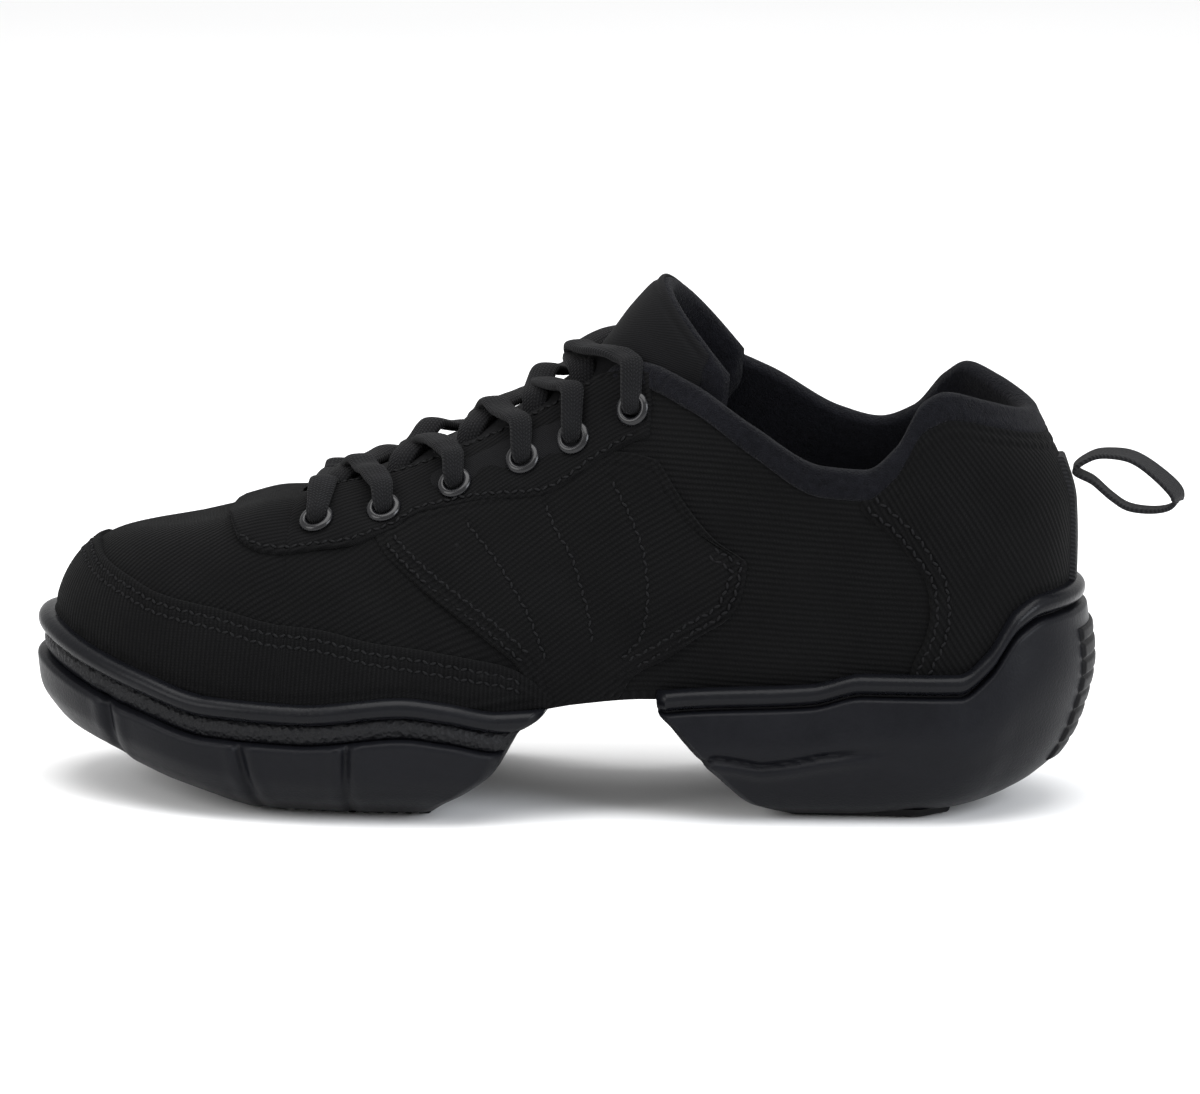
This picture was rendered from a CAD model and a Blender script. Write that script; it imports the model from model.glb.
# %% [markdown]
# # A black dance sneaker, dressed over its fixed solids
# The solids of the part say where everything is. This script loads them, then lays fine surfaces over
# the same last: cloth, sewn panels, fleece, webbing, laces, enamelled rings and two blocks of rubber.
# Nearly everything here is a grid of points worked out with numpy from a formula in two parameters,
# because a shoe is made the same way: flat pieces pulled over one smooth form.

# %% Load the fixed frame
import math
import bpy
import numpy as np
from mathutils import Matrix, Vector
from mathutils.bvhtree import BVHTree


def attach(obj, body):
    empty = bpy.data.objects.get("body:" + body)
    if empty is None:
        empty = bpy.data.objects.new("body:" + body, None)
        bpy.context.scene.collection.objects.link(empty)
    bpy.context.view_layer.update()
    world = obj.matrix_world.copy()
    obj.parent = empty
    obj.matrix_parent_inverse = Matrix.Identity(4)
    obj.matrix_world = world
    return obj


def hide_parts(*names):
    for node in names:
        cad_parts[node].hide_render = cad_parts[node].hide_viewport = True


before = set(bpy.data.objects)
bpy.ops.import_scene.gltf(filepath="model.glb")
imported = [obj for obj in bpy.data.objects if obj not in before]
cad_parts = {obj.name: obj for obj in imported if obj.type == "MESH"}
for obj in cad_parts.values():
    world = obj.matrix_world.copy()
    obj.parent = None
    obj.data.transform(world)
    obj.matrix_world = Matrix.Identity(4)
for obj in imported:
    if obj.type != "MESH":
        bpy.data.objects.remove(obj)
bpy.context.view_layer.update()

MM = 0.001
SIDE_SHIFT = np.array([0.0, 1.5, 0.0])  # the last's axis in the frame, in mm

# %% [markdown]
# ## Camera, light and floor
# The photograph was taken from far away with a long lens, 10.5 degrees above the floor and turned 6
# degrees towards the heel. A long lens keeps the sole's line flat, and so does a camera 1.6 m away
# here. A wide lens close by would swell the toe. The light is soft and from above, as in a packshot.

# %% Camera
YAW, ELEVATION, DISTANCE, PIXELS_PER_MM = math.radians(6), math.radians(10.5), 1600.0, 4.04
PICTURE_WIDTH, SENSOR_WIDTH, AIM_HEIGHT = 1200, 36.0, 61.5
target = np.array([0.0, 0.0, AIM_HEIGHT]) + SIDE_SHIFT
forward = np.array([-math.sin(YAW) * math.cos(ELEVATION), math.cos(YAW) * math.cos(ELEVATION),
                    -math.sin(ELEVATION)])
camera_data = bpy.data.cameras.new("camera")
camera = bpy.data.objects.new("camera", camera_data)
bpy.context.scene.collection.objects.link(camera)
camera.location = Vector((target - forward * DISTANCE) * MM)
camera.rotation_euler = Vector(forward).to_track_quat("-Z", "Y").to_euler()
camera_data.sensor_width = SENSOR_WIDTH
camera_data.lens = PIXELS_PER_MM * DISTANCE * SENSOR_WIDTH / PICTURE_WIDTH
camera_data.clip_end = 30
bpy.context.scene.camera = camera
print("lens", round(camera_data.lens, 1), "mm")

# %% Lights and world
def area_light(name, place, aim, size, power, color=(1, 1, 1)):
    """A square soft box at a place in metres that faces aim."""
    data = bpy.data.lights.new(name, "AREA")
    data.size, data.energy, data.color = size, power, color
    lamp = bpy.data.objects.new(name, data)
    bpy.context.scene.collection.objects.link(lamp)
    lamp.location = place
    lamp.rotation_euler = (Vector(aim) - Vector(place)).to_track_quat("-Z", "Y").to_euler()


area_light("box_above", (0.0, -0.25, 1.5), (0, 0, 0.04), 1.4, 26)
area_light("box_right", (1.25, -0.75, 0.75), (0.06, 0, 0.05), 0.8, 17, (0.9, 0.94, 1))
area_light("box_left", (-1.2, -0.9, 0.8), (-0.05, 0, 0.05), 0.8, 9)
world = bpy.data.worlds.new("studio")
bpy.context.scene.world = world
world.use_nodes = True
world.node_tree.nodes["Background"].inputs["Color"].default_value = (1, 1, 1, 1)
world.node_tree.nodes["Background"].inputs["Strength"].default_value = 0.9
bpy.context.scene.view_settings.view_transform = "Standard"

# %% [markdown]
# ## Meshes from grids
# Every surface below ends up as an array of points. Points that coincide are joined, so that a pole or
# the seam of a closed form has no crack, and a four-sided face that has lost a corner becomes a
# triangle. A closed piece has a positive volume when its faces point out, and that settles which way
# they turn.

# %% From arrays to a piece
def faces_of(rows, columns, start=0):
    """Four-sided faces between the points of a rows by columns grid, numbered row by row."""
    index = start + np.arange(rows * columns).reshape(rows, columns)
    return np.stack([index[:-1, :-1], index[1:, :-1], index[1:, 1:], index[:-1, 1:]], -1).reshape(-1, 4)


def triangles_of(quads):
    """Each four-sided face cut along one diagonal."""
    return np.concatenate([quads[:, [0, 1, 2]], quads[:, [0, 2, 3]]])


def volume_of(points, quads):
    """A sixth of the sum of the triple products of all triangles."""
    a, b, c = (points[triangles_of(quads)][:, i] for i in range(3))
    return np.einsum("ij,ij->i", a, np.cross(b, c)).sum() / 6


WELD = 0.002  # points closer than this, in mm, become one
made = {}


def piece(name, points, quads, material, slot, weave=None, replaces=(), crease=50):
    """One object from points in mm on the last's axis.

    Weave gives each point its place in the cloth in mm. A turn of more than crease degrees stays sharp.
    """
    points = np.asarray(points, float).reshape(-1, 3)
    keys = np.round(points / WELD).astype(np.int64)
    _, first, number = np.unique(keys, axis=0, return_index=True, return_inverse=True)
    number = number.reshape(-1)
    quads = np.asarray(quads)
    if volume_of(points, quads) < 0:
        quads = quads[:, ::-1]
    joined = number[quads]
    same = joined == np.roll(joined, -1, axis=1)
    whole = quads[~same.any(1)]
    halved = []
    for corner in range(4):
        rows = (same.sum(1) == 1) & same[:, corner]
        halved.append(quads[rows][:, [i for i in range(4) if i != corner]])
    thirds = np.concatenate(halved)
    corners = np.concatenate([whole.reshape(-1), thirds.reshape(-1)])
    starts = np.concatenate([np.arange(len(whole)) * 4, 4 * len(whole) + np.arange(len(thirds)) * 3])
    mesh = bpy.data.meshes.new(name)
    mesh.vertices.add(len(first))
    mesh.vertices.foreach_set("co", ((points[first] + SIDE_SHIFT) * MM).astype(np.float32).ravel())
    mesh.loops.add(len(corners))
    mesh.loops.foreach_set("vertex_index", number[corners].astype(np.int32))
    mesh.polygons.add(len(starts))
    mesh.polygons.foreach_set("loop_start", starts.astype(np.int32))
    if weave is not None:
        layer = mesh.uv_layers.new(name="weave")
        at_corners = np.asarray(weave).reshape(-1, 2)[corners] * MM
        layer.data.foreach_set("uv", at_corners.astype(np.float32).ravel())
    mesh.update(calc_edges=True)
    if mesh.validate():
        print(name, "had faces to mend")
    mesh.polygons.foreach_set("use_smooth", np.ones(len(mesh.polygons), bool))
    mesh.set_sharp_from_angle(angle=math.radians(crease))
    mesh.materials.append(material)
    obj = bpy.data.objects.new(name, mesh)
    bpy.context.scene.collection.objects.link(obj)
    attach(obj, "root")
    if replaces:
        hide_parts(*replaces)
    made[name] = obj
    print(f"{name}: {len(mesh.polygons)} faces")
    return obj


def closed_grid(grid, name, material, slot, weave=None, **extra):
    """A piece from one grid whose columns run round a closed section."""
    grid, weave = (None if part is None else np.concatenate([part, part[:, :1]], 1) for part in (grid, weave))
    return piece(name, grid, faces_of(*grid.shape[:2]), material, slot, weave=weave, **extra)


def two_faced(name, face, back, material, slot, weave=None, **extra):
    """A closed piece from two grids that meet along their rim."""
    rows, columns = face.shape[:2]
    quads = faces_of(rows, columns)
    if weave is not None:
        weave = np.concatenate([weave.reshape(-1, 2)] * 2)
    quads = np.concatenate([quads, quads[:, ::-1] + rows * columns])
    points = np.concatenate([face.reshape(-1, 3), back.reshape(-1, 3)])
    return piece(name, points, quads, material, slot, weave=weave, **extra)


# %% [markdown]
# ## The last
# A shoemaker pulls the upper over a last, a solid foot of wood. The same last is written here as a
# formula: s runs from the heel back to the toe tip and v from the sole's edge up to the top edge. Each
# rib is one cubic curve whose four control points come from short tables of shares. Tables are chosen
# rather than a sculpted mesh, because the same numbers make the solids, so cloth and solid agree to a
# hair.

# %% Tables and smooth curves
UPPER_LENGTH, BALL_HALF, HEEL_SEAT, INSTEP_RISE = 252.4, 46.0, 31.0, 78.5
HEEL_BACK = 0.458 * UPPER_LENGTH
UPPER_WALL, COLLAR_PAD = 2.4, 3.8


def table(columns, rows):
    return dict(zip(columns.split(), np.array(rows, float).T))


def at(rows, column, s):
    """A cubic between neighbouring rows whose slopes are harmonic means, so that it never overshoots."""
    xs, ys = next(iter(rows.values())), rows[column]
    step = np.diff(xs)
    slope = np.diff(ys) / step
    before, after = slope[:-1], slope[1:]
    near, far = 2 * step[1:] + step[:-1], step[1:] + 2 * step[:-1]
    safe = before * after > 0
    mean = (near + far) / (near / np.where(safe, before, 1) + far / np.where(safe, after, 1))
    tangent = np.concatenate([slope[:1], np.where(safe, mean, 0), slope[-1:]])
    s = np.clip(s, xs[0], xs[-1])
    i = np.clip(np.searchsorted(xs, s, side="right") - 1, 0, len(xs) - 2)
    t = (s - xs[i]) / step[i]
    return ((1 + 2 * t) * (1 - t) ** 2 * ys[i] + t * (1 - t) ** 2 * step[i] * tangent[i]
            + t * t * (3 - 2 * t) * ys[i + 1] - t * t * (1 - t) * step[i] * tangent[i + 1])


def mix(a, b, t):
    return a + (b - a) * t


def swell(t, power):
    """A quarter of a superellipse: 0 at t = 0, and 1 from t = 1 on."""
    return (1 - (1 - np.clip(t, 0, 1)) ** power) ** (1 / power)


def soft(t):
    """Rises smoothly from 0 to 1."""
    t = np.clip(t, 0, 1)
    return t * t * (3 - 2 * t)


def bell(distance, width):
    return np.exp(-(distance / width) ** 2)


def quarter_round(near, radius):
    """How high a rounded rim stands at a distance from the edge: 0 on it, 1 from the radius on."""
    return np.sqrt(np.clip(1 - (1 - np.clip(near / radius, 0, 1)) ** 2, 0, 1))


def arc_lengths(points, axis=0):
    """The way walked from the first point along an axis of a line or a grid."""
    steps = np.linalg.norm(np.diff(points, axis=axis), axis=-1)
    pad = [(0, 0)] * steps.ndim
    pad[axis] = (1, 0)
    return np.cumsum(np.pad(steps, pad), axis=axis)


def both_sides(s):
    """Stations that run along the outer side and back along the inner side, with the sides."""
    return np.concatenate([s, s[::-1]]), np.concatenate([-np.ones(len(s)), np.ones(len(s))])


def tapered(count, reach):
    """The size of a closed form's sections: nothing at both ends, whole from reach sections on."""
    number = np.arange(count)
    return swell(np.minimum(number, number[::-1]) / reach, 2.0)[:, None, None]


def x_of(s):
    return HEEL_BACK - s * UPPER_LENGTH


PLAN = table("s axis outer inner feather", [
    (0.0, 0.0, 0.674, 0.674, 1.0), (0.1, 0.0, 0.685, 0.685, 1.0), (0.2, 0.0, 0.696, 0.68, 1.0),
    (0.3, 0.0, 0.71, 0.645, 1.0), (0.4, 0.0, 0.735, 0.6, 1.0), (0.46, 0.0, 0.785, 0.62, 0.97),
    (0.52, 0.0, 0.88, 0.7, 0.9), (0.6, 0.004, 0.985, 0.81, 0.8), (0.68, 0.017, 1.02, 0.891, 0.765),
    (0.76, 0.043, 0.989, 0.891, 0.8), (0.84, 0.072, 0.913, 0.837, 0.9), (0.92, 0.104, 0.815, 0.75, 1.03),
    (1.0, 0.13, 0.717, 0.652, 1.19)])
COLLAR_OUTER = table("s half height", [
    (0.0, 0.55, 0.847), (0.05, 0.565, 0.898), (0.095, 0.595, 0.93), (0.125, 0.62, 0.9),
    (0.16, 0.65, 0.758),
    (0.19, 0.667, 0.692), (0.23, 0.672, 0.701), (0.3, 0.63, 0.822), (0.36, 0.55, 0.943),
    (0.41, 0.435, 0.997),
    (0.445, 0.335, 0.975), (0.48, 0.293, 0.904), (0.573, 0.261, 0.745), (0.644, 0.239, 0.65),
    (0.724, 0.206, 0.576), (0.751, 0.195, 0.541)])
COLLAR_INNER = table("s half height", [
    (0.0, 0.55, 0.847), (0.045, 0.565, 0.902), (0.08, 0.595, 0.93), (0.115, 0.62, 0.885),
    (0.155, 0.64, 0.777),
    (0.19, 0.65, 0.741), (0.23, 0.65, 0.771), (0.3, 0.615, 0.898), (0.36, 0.565, 0.975),
    (0.41, 0.48, 1.004),
    (0.445, 0.39, 0.981), (0.48, 0.348, 0.908), (0.573, 0.315, 0.745), (0.644, 0.293, 0.65),
    (0.724, 0.26, 0.576), (0.751, 0.24, 0.541)])
RIDGE = table("s axis height", [
    (0.7, 0.05, 0.57), (0.751, 0.054, 0.538), (0.783, 0.061, 0.523), (0.812, 0.065, 0.5),
    (0.83, 0.074, 0.479),
    (0.878, 0.087, 0.448), (0.93, 0.109, 0.42), (1.0, 0.13, 0.369)])
RIBS = table("s rise bulge shoulder drop", [
    (0.0, 0.478, 0.033, 0.109, 0.478), (0.1, 0.478, 0.05, 0.12, 0.522), (0.2, 0.435, 0.07, 0.109, 0.435),
    (0.3, 0.43, 0.085, 0.13, 0.478), (0.4, 0.36, 0.15, 0.174, 0.435), (0.46, 0.36, 0.17, 0.239, 0.304),
    (0.52, 0.46, 0.1, 0.28, 0.2), (0.6, 0.54, 0.05, 0.326, 0.152), (0.72, 0.478, 0.022, 0.413, 0.043),
    (0.8, 0.435, 0.017, 0.478, 0.0), (0.9, 0.39, 0.03, 0.391, 0.0), (1.0, 0.348, 0.03, 0.228, 0.0)])
HEEL_LEAN = table("height forward", [
    (0.23, 0.017), (0.41, 0.004), (0.55, 0.0), (0.69, 0.007), (0.767, 0.054), (0.822, 0.109),
    (0.886, 0.187),
    (0.96, 0.261)])
THROAT_FRONT, THROAT_NOSE, COLLAR_FRONT = 0.751, 0.03, 0.445
HEEL_ROUND, TOE_ROUND, HEEL_POWER, TOE_POWER = 0.13, 0.2, 2.1, 2.2
FAN_START, FAN_REACH, LEAN_FADE, CAP_FROM, REAR_END = 0.8, 0.125, 0.25, 0.81, 0.3


def feather(s):
    return at(PLAN, "feather", s) * HEEL_SEAT


def axis_shift(s):
    return at(PLAN, "axis", s) * BALL_HALF


def top_height(share):
    return HEEL_SEAT + share * INSTEP_RISE


def bend_of(s):
    """Where on its rib, as v, the flat cap over the ridge begins: at 1 where the throat is open."""
    closed = np.where(s < THROAT_FRONT, 1 - swell((THROAT_FRONT - s) / THROAT_NOSE, 2.2), 1.0)
    return mix(1, CAP_FROM, closed)


# %% The last's surface and its outward direction
def surface(s, side, v):
    """A point of the upper's outer skin: a cubic from the feather edge to the top edge, flat over the vamp.

    b(t) = (1-t)^3 start + 3t(1-t)^2 low + 3t^2(1-t) high + t^3 end. Side is -1 outside the foot, 1 inside.
    """
    s, side, v = np.broadcast_arrays(np.asarray(s, float), np.asarray(side, float), np.asarray(v, float))
    heel_end = swell(s / HEEL_ROUND, HEEL_POWER)
    rounded = heel_end * swell((1 - s) / TOE_ROUND, TOE_POWER)
    half = np.where(side < 0, at(PLAN, "outer", s), at(PLAN, "inner", s)) * BALL_HALF
    start = np.stack([x_of(s), axis_shift(s) + side * half * rounded, feather(s)], -1)
    late = np.clip((s - FAN_START) / (1 - FAN_START), 0, 1)
    fanned = FAN_START + FAN_REACH * (1 - (1 - late) ** ((1 - FAN_START) / FAN_REACH))
    top = np.where(s < FAN_START, s, fanned)
    ridge_height = top_height(at(RIDGE, "height", top))
    crest = np.stack([x_of(top), at(RIDGE, "axis", top) * BALL_HALF, ridge_height], -1)
    opened = s < THROAT_FRONT
    held = np.minimum(s, THROAT_FRONT)
    edge_half = np.where(side < 0, at(COLLAR_OUTER, "half", held), at(COLLAR_INNER, "half", held))
    edge = edge_half * side * BALL_HALF
    height = np.where(side < 0, at(COLLAR_OUTER, "height", s), at(COLLAR_INNER, "height", s))
    ahead = np.clip((s - THROAT_FRONT) / (1 - THROAT_FRONT), 0, 1)
    end = crest.copy()
    end[..., 1] = np.where(opened, edge * heel_end, mix(crest[..., 1], edge, 1 - ahead ** 2))
    end[..., 2] = np.where(opened, top_height(height), crest[..., 2])
    away = start[..., :2] - end[..., :2]
    away = away / np.maximum(np.linalg.norm(away, axis=-1, keepdims=True), 1e-9)
    out = np.where((s > FAN_START)[..., None], away, np.stack([0 * side, side], -1))
    bulge = at(RIBS, "bulge", s) * BALL_HALF * rounded
    low = start + np.stack([out[..., 0] * bulge, out[..., 1] * bulge, at(RIBS, "rise", s) * BALL_HALF], -1)
    shoulder = at(RIBS, "shoulder", s) * BALL_HALF * np.where(s < REAR_END, heel_end, 1)
    step = 0.01
    slope = (at(RIDGE, "height", top + step) - at(RIDGE, "height", top)) * INSTEP_RISE / (step * UPPER_LENGTH)
    fall = np.where(s > FAN_START, -out[..., 0] * shoulder * slope, 0) - at(RIBS, "drop", s) * BALL_HALF
    high = end + np.stack([out[..., 0] * shoulder, out[..., 1] * shoulder, fall], -1)
    bend = bend_of(s)
    closed = (1 - bend) / (1 - CAP_FROM)
    t = np.minimum(v / bend, 1)[..., None]
    p = (1 - t) ** 3 * start + 3 * t * (1 - t) ** 2 * low + 3 * t * t * (1 - t) * high + t ** 3 * end
    over = np.where(v > bend, closed * (v - bend) / np.maximum(1 - bend, 1e-9), 0)[..., None]
    p = p + (crest - p) * over
    forward_lean = at(HEEL_LEAN, "forward", p[..., 2] / (HEEL_SEAT + INSTEP_RISE)) * BALL_HALF
    p[..., 0] -= forward_lean * np.clip(1 - s / LEAN_FADE, 0, 1) ** 2
    return p


def unit(vectors):
    return vectors / np.maximum(np.linalg.norm(vectors, axis=-1, keepdims=True), 1e-12)


def outward(s, side, v):
    """The cross product of the two ways along the skin; both sides share it where they meet."""
    def raw(which):
        e = 0.001
        along = surface(np.clip(s + e, 0, 1), which, v) - surface(np.clip(s - e, 0, 1), which, v)
        up = surface(s, which, np.clip(v + 0.01, 0, 1)) - surface(s, which, np.clip(v - 0.01, 0, 1))
        return unit(np.cross(along, up) * which[..., None])
    s, side, v = np.broadcast_arrays(np.asarray(s, float), np.asarray(side, float), np.asarray(v, float))
    ends = np.maximum(np.clip(1 - s / 0.004, 0, 1), np.clip((s - 0.996) / 0.004, 0, 1))
    crown = np.where(s >= THROAT_FRONT, np.clip((v - 0.95) / 0.05, 0, 1), 0)
    share = (0.5 * np.maximum(ends, crown))[..., None]
    return unit(raw(side) * (1 - share) + raw(-side) * share)


def skin(s, side, v, out=0.0):
    """The skin moved out along its outward direction."""
    moved = surface(s, side, v)
    return moved + outward(s, side, v) * np.broadcast_to(np.asarray(out, float), moved.shape[:-1])[..., None]


def stations(count, first=0.0, last=1.0):
    """Values of s at equal distances along the side of the shoe."""
    t = np.linspace(0, 1, 1500)
    s = first + (last - first) * (1 - np.cos(np.pi * t)) / 2
    gone = arc_lengths(surface(s, -1, 0.35))
    return np.interp(np.linspace(0, gone[-1], count), gone, s)


def find(side, points, damping=4.0, longest=0.01):
    """s and v of points of the side view, x and z in mm: the nearest of a grid, then damped Newton steps."""
    s_grid, v_grid = stations(500), np.linspace(0, 1, 160)
    net = surface(s_grid[:, None], side, v_grid[None])[..., [0, 2]]
    small = 1e-3
    result = []
    for goal in np.asarray(points, float):
        i, j = np.unravel_index(((net - goal) ** 2).sum(-1).argmin(), net.shape[:2])
        guess = np.array([s_grid[i], v_grid[j]])
        for _ in range(4):
            here = surface(guess[0], side, guess[1])[[0, 2]]
            ways = np.stack([surface(min(guess[0] + small, 1), side, guess[1])[[0, 2]] - here,
                             surface(guess[0], side, min(guess[1] + small, 1))[[0, 2]] - here], -1) / small
            push = np.linalg.solve(ways.T @ ways + damping * np.eye(2), ways.T @ (goal - here))
            guess = np.clip(guess + np.clip(push, -longest, longest), 0, 1)
        result.append(guess)
    return np.array(result)


def seam(side, points, count=160):
    """A smooth line on the skin through points of the side view, as arrays s and v at equal chord steps."""
    points = np.asarray(points, float)
    found = find(side, points)
    rows = {"chord": arc_lengths(points), "s": found[:, 0], "share": found[:, 1] / bend_of(found[:, 0])}
    t = np.linspace(0, rows["chord"][-1], count)
    s = at(rows, "s", t)
    return s, np.minimum(at(rows, "share", t) * bend_of(s), 1)


print("toe tip", surface(1.0, -1, 0.0).round(2), "collar top", surface(0.095, -1, 1.0).round(2))

# %% [markdown]
# ## Shader maths as plain sums
# Procedural materials are long chains of Math nodes. Wrapping a socket in a small class lets the chains
# be written as sums, and one method makes every other node.

# %% A socket that can be added and multiplied
class Value:
    """A socket of a shader tree that takes part in Python expressions."""

    def __init__(self, paint, socket):
        self.paint, self.socket = paint, socket

    def _math(self, operation, a, b=0.0):
        return self.paint.node("ShaderNodeMath", {"operation": operation}, {0: a, 1: b})

    def __add__(self, other):
        return self._math("ADD", self, other)

    def __sub__(self, other):
        return self._math("SUBTRACT", self, other)

    def __rsub__(self, other):
        return self._math("SUBTRACT", other, self)

    def __mul__(self, other):
        return self._math("MULTIPLY", self, other)

    def __truediv__(self, other):
        return self._math("DIVIDE", self, other)

    def __pow__(self, other):
        return self._math("POWER", self, other)

    __radd__, __rmul__ = __add__, __mul__

    def wave(self):
        """From 0 to 1 and back once for each whole number."""
        return self._math("COSINE", self * (2 * math.pi)) * -0.5 + 0.5

    def clamp(self):
        return self._math("MINIMUM", self._math("MAXIMUM", self, 0.0), 1.0)


class Paint:
    """A material in the making."""

    def __init__(self, name):
        self.material = bpy.data.materials.new(name)
        self.material.use_nodes = True
        self.tree = self.material.node_tree
        self.tree.nodes.clear()

    def node(self, kind, settings=None, inputs=None, output=0):
        """Makes a node: first its settings, then the values or links of its sockets."""
        made_node = self.tree.nodes.new(kind)
        for key, value in (settings or {}).items():
            setattr(made_node, key, value)
        for key, value in (inputs or {}).items():
            if isinstance(value, Value):
                self.tree.links.new(value.socket, made_node.inputs[key])
            else:
                made_node.inputs[key].default_value = value
        return Value(self, made_node.outputs[output])

    def place(self):
        """Object coordinates in metres."""
        return self.node("ShaderNodeTexCoord", output="Object")

    def weave(self):
        """The place in the cloth: along the cords and across them, in metres."""
        uv = self.node("ShaderNodeUVMap", {"uv_map": "weave"})
        return [self.node("ShaderNodeSeparateXYZ", None, {0: uv}, output=i) for i in range(2)]

    def noise(self, size, detail=2.0, rough=0.5):
        """Noise whose bumps are about size metres wide."""
        return self.node("ShaderNodeTexNoise", None, {"Vector": self.place(), "Scale": 1 / size,
                                                      "Detail": detail, "Roughness": rough})

    def cells(self, scale):
        """The distance from the nearest of many scattered points, scale of them to a metre."""
        return self.node("ShaderNodeTexVoronoi", {"feature": "F1"}, {"Vector": self.place(), "Scale": scale})

    def blend(self, share, low, high):
        """A colour between two; each is a socket or red, green and blue."""
        low, high = (color if isinstance(color, Value) else (*color, 1) for color in (low, high))
        return self.node("ShaderNodeMix", {"data_type": "RGBA"}, {0: share, 6: low, 7: high}, output=2)

    def bump(self, height, distance, strength=1.0):
        """A normal from a height between 0 and 1 that stands for distance metres."""
        return self.node("ShaderNodeBump", None,
                         {"Height": height, "Distance": distance, "Strength": strength})

    def finish(self, color, roughness, normal, **fixed):
        """Ends the tree in a Principled shader; fixed holds its constant inputs."""
        inputs = {"Base Color": color, "Roughness": roughness, "Normal": normal}
        inputs.update({key.replace("_", " "): value for key, value in fixed.items()})
        shader = self.node("ShaderNodeBsdfPrincipled", None, inputs)
        out = self.tree.nodes.new("ShaderNodeOutputMaterial")
        self.tree.links.new(shader.socket, out.inputs["Surface"])
        return self.material

# %% [markdown]
# ## Ribbed cloth
# The upper is a black ribbed canvas: round cords about 1.3 mm apart, each wound from finer threads,
# matt and a little uneven. The cords change direction from panel to panel, which is how the panels show
# at all on a black shoe. So the pattern reads each piece's own cloth coordinates, turned panel by panel
# in the mesh.

# %% Cloth materials
CLOTH_SHADE, LINT = (0.0009, 0.0009, 0.001), (0.022, 0.022, 0.023)


def ribbed_cloth(name, pitch, light, depth, dark=CLOTH_SHADE):
    """Cords as a cosine across the cloth, threads as a slanted cosine along them, and worn, linty spots."""
    paint = Paint(name)
    along, across = paint.weave()
    drift = (paint.noise(0.02, 2.0) - 0.5) * 0.5
    cords = (across / pitch + drift).wave()
    threads = (along / (0.62 * pitch) + across * (0.5 / pitch)).wave()
    fuzz = paint.noise(0.0007, 3.0, 0.6)
    flattened = (paint.noise(0.011, 3.0, 0.6) * 1.7 - 0.25).clamp() * 0.65 + 0.35
    height = (cords ** 0.8) * (threads * 0.3 + 0.7) * flattened + fuzz * 0.4
    worn = paint.noise(0.03, 3.0, 0.6)
    caught = cords * flattened * 0.6 * (threads * 0.5 + 0.5) + fuzz * 0.5 - 0.08
    color = paint.blend(caught.clamp(), dark, light)
    color = paint.blend((worn - 0.35) * 0.5, color, light)
    speck = (0.035 - paint.cells(45.0)).clamp() * 8.0
    color = paint.blend(speck.clamp(), color, LINT)
    return paint.finish(color, fuzz * 0.12 + 0.84, paint.bump(height, depth, 0.9), Specular_IOR_Level=0.05,
                        Sheen_Weight=0.012, Sheen_Roughness=0.5)


cloth = ribbed_cloth("ribbed_cloth", 0.0014, (0.0058, 0.0058, 0.006), 0.00028)
fine_cloth = ribbed_cloth("fine_cloth", 0.0011, (0.0062, 0.0062, 0.0065), 0.00025)


def plain_cloth():
    """The tongue's face: a tight twill of 0.5 mm that shows only close by."""
    paint = Paint("tongue_cloth")
    along, across = paint.weave()
    twill = ((along + across) / 0.00055).wave()
    fuzz = paint.noise(0.0012, 3.0, 0.6)
    shade, light = (0.0022, 0.0022, 0.0025), (0.0058, 0.0058, 0.0064)
    color = paint.blend((twill * 0.5 + fuzz * 0.5).clamp(), shade, light)
    return paint.finish(color, fuzz * 0.2 + 0.74, paint.bump(twill * 0.6 + fuzz * 0.6, 0.00012, 0.8),
                        Specular_IOR_Level=0.07, Sheen_Weight=0.015, Sheen_Roughness=0.5)


def fleece():
    """The lining: napped knit, a dark blue black whose loose fibres catch light at the edges."""
    paint = Paint("fleece")
    tufts = paint.noise(0.0016, 4.0, 0.65)
    fibres = paint.noise(0.00035, 2.0, 0.6)
    patches = paint.noise(0.012, 2.0)
    color = paint.blend((tufts * 0.7 + fibres * 0.5 - 0.25 + (patches - 0.5) * 0.4).clamp(),
                        (0.0016, 0.0016, 0.0022), (0.0105, 0.0108, 0.0140))
    return paint.finish(color, fibres * 0.1 + 0.88, paint.bump(tufts * 0.8 + fibres * 0.6, 0.0009, 1.0),
                        Specular_IOR_Level=0.03, Sheen_Weight=0.045, Sheen_Roughness=0.45)


def webbing():
    """Herringbone tape: slanted ribs that turn back every 1.6 mm across."""
    paint = Paint("webbing")
    along, across = paint.weave()
    zigzag = paint.node("ShaderNodeMath", {"operation": "PINGPONG"}, {0: across, 1: 0.0016})
    ribs = ((along + zigzag) / 0.00105).wave()
    fuzz = paint.noise(0.0006, 2.0)
    color = paint.blend((ribs * 0.8 + fuzz * 0.3).clamp(), (0.0018, 0.0018, 0.002), (0.0105, 0.0105, 0.0118))
    return paint.finish(color, fuzz * 0.2 + 0.62, paint.bump(ribs + fuzz * 0.3, 0.00022, 0.9),
                        Specular_IOR_Level=0.12, Sheen_Weight=0.02, Sheen_Roughness=0.5)


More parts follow.
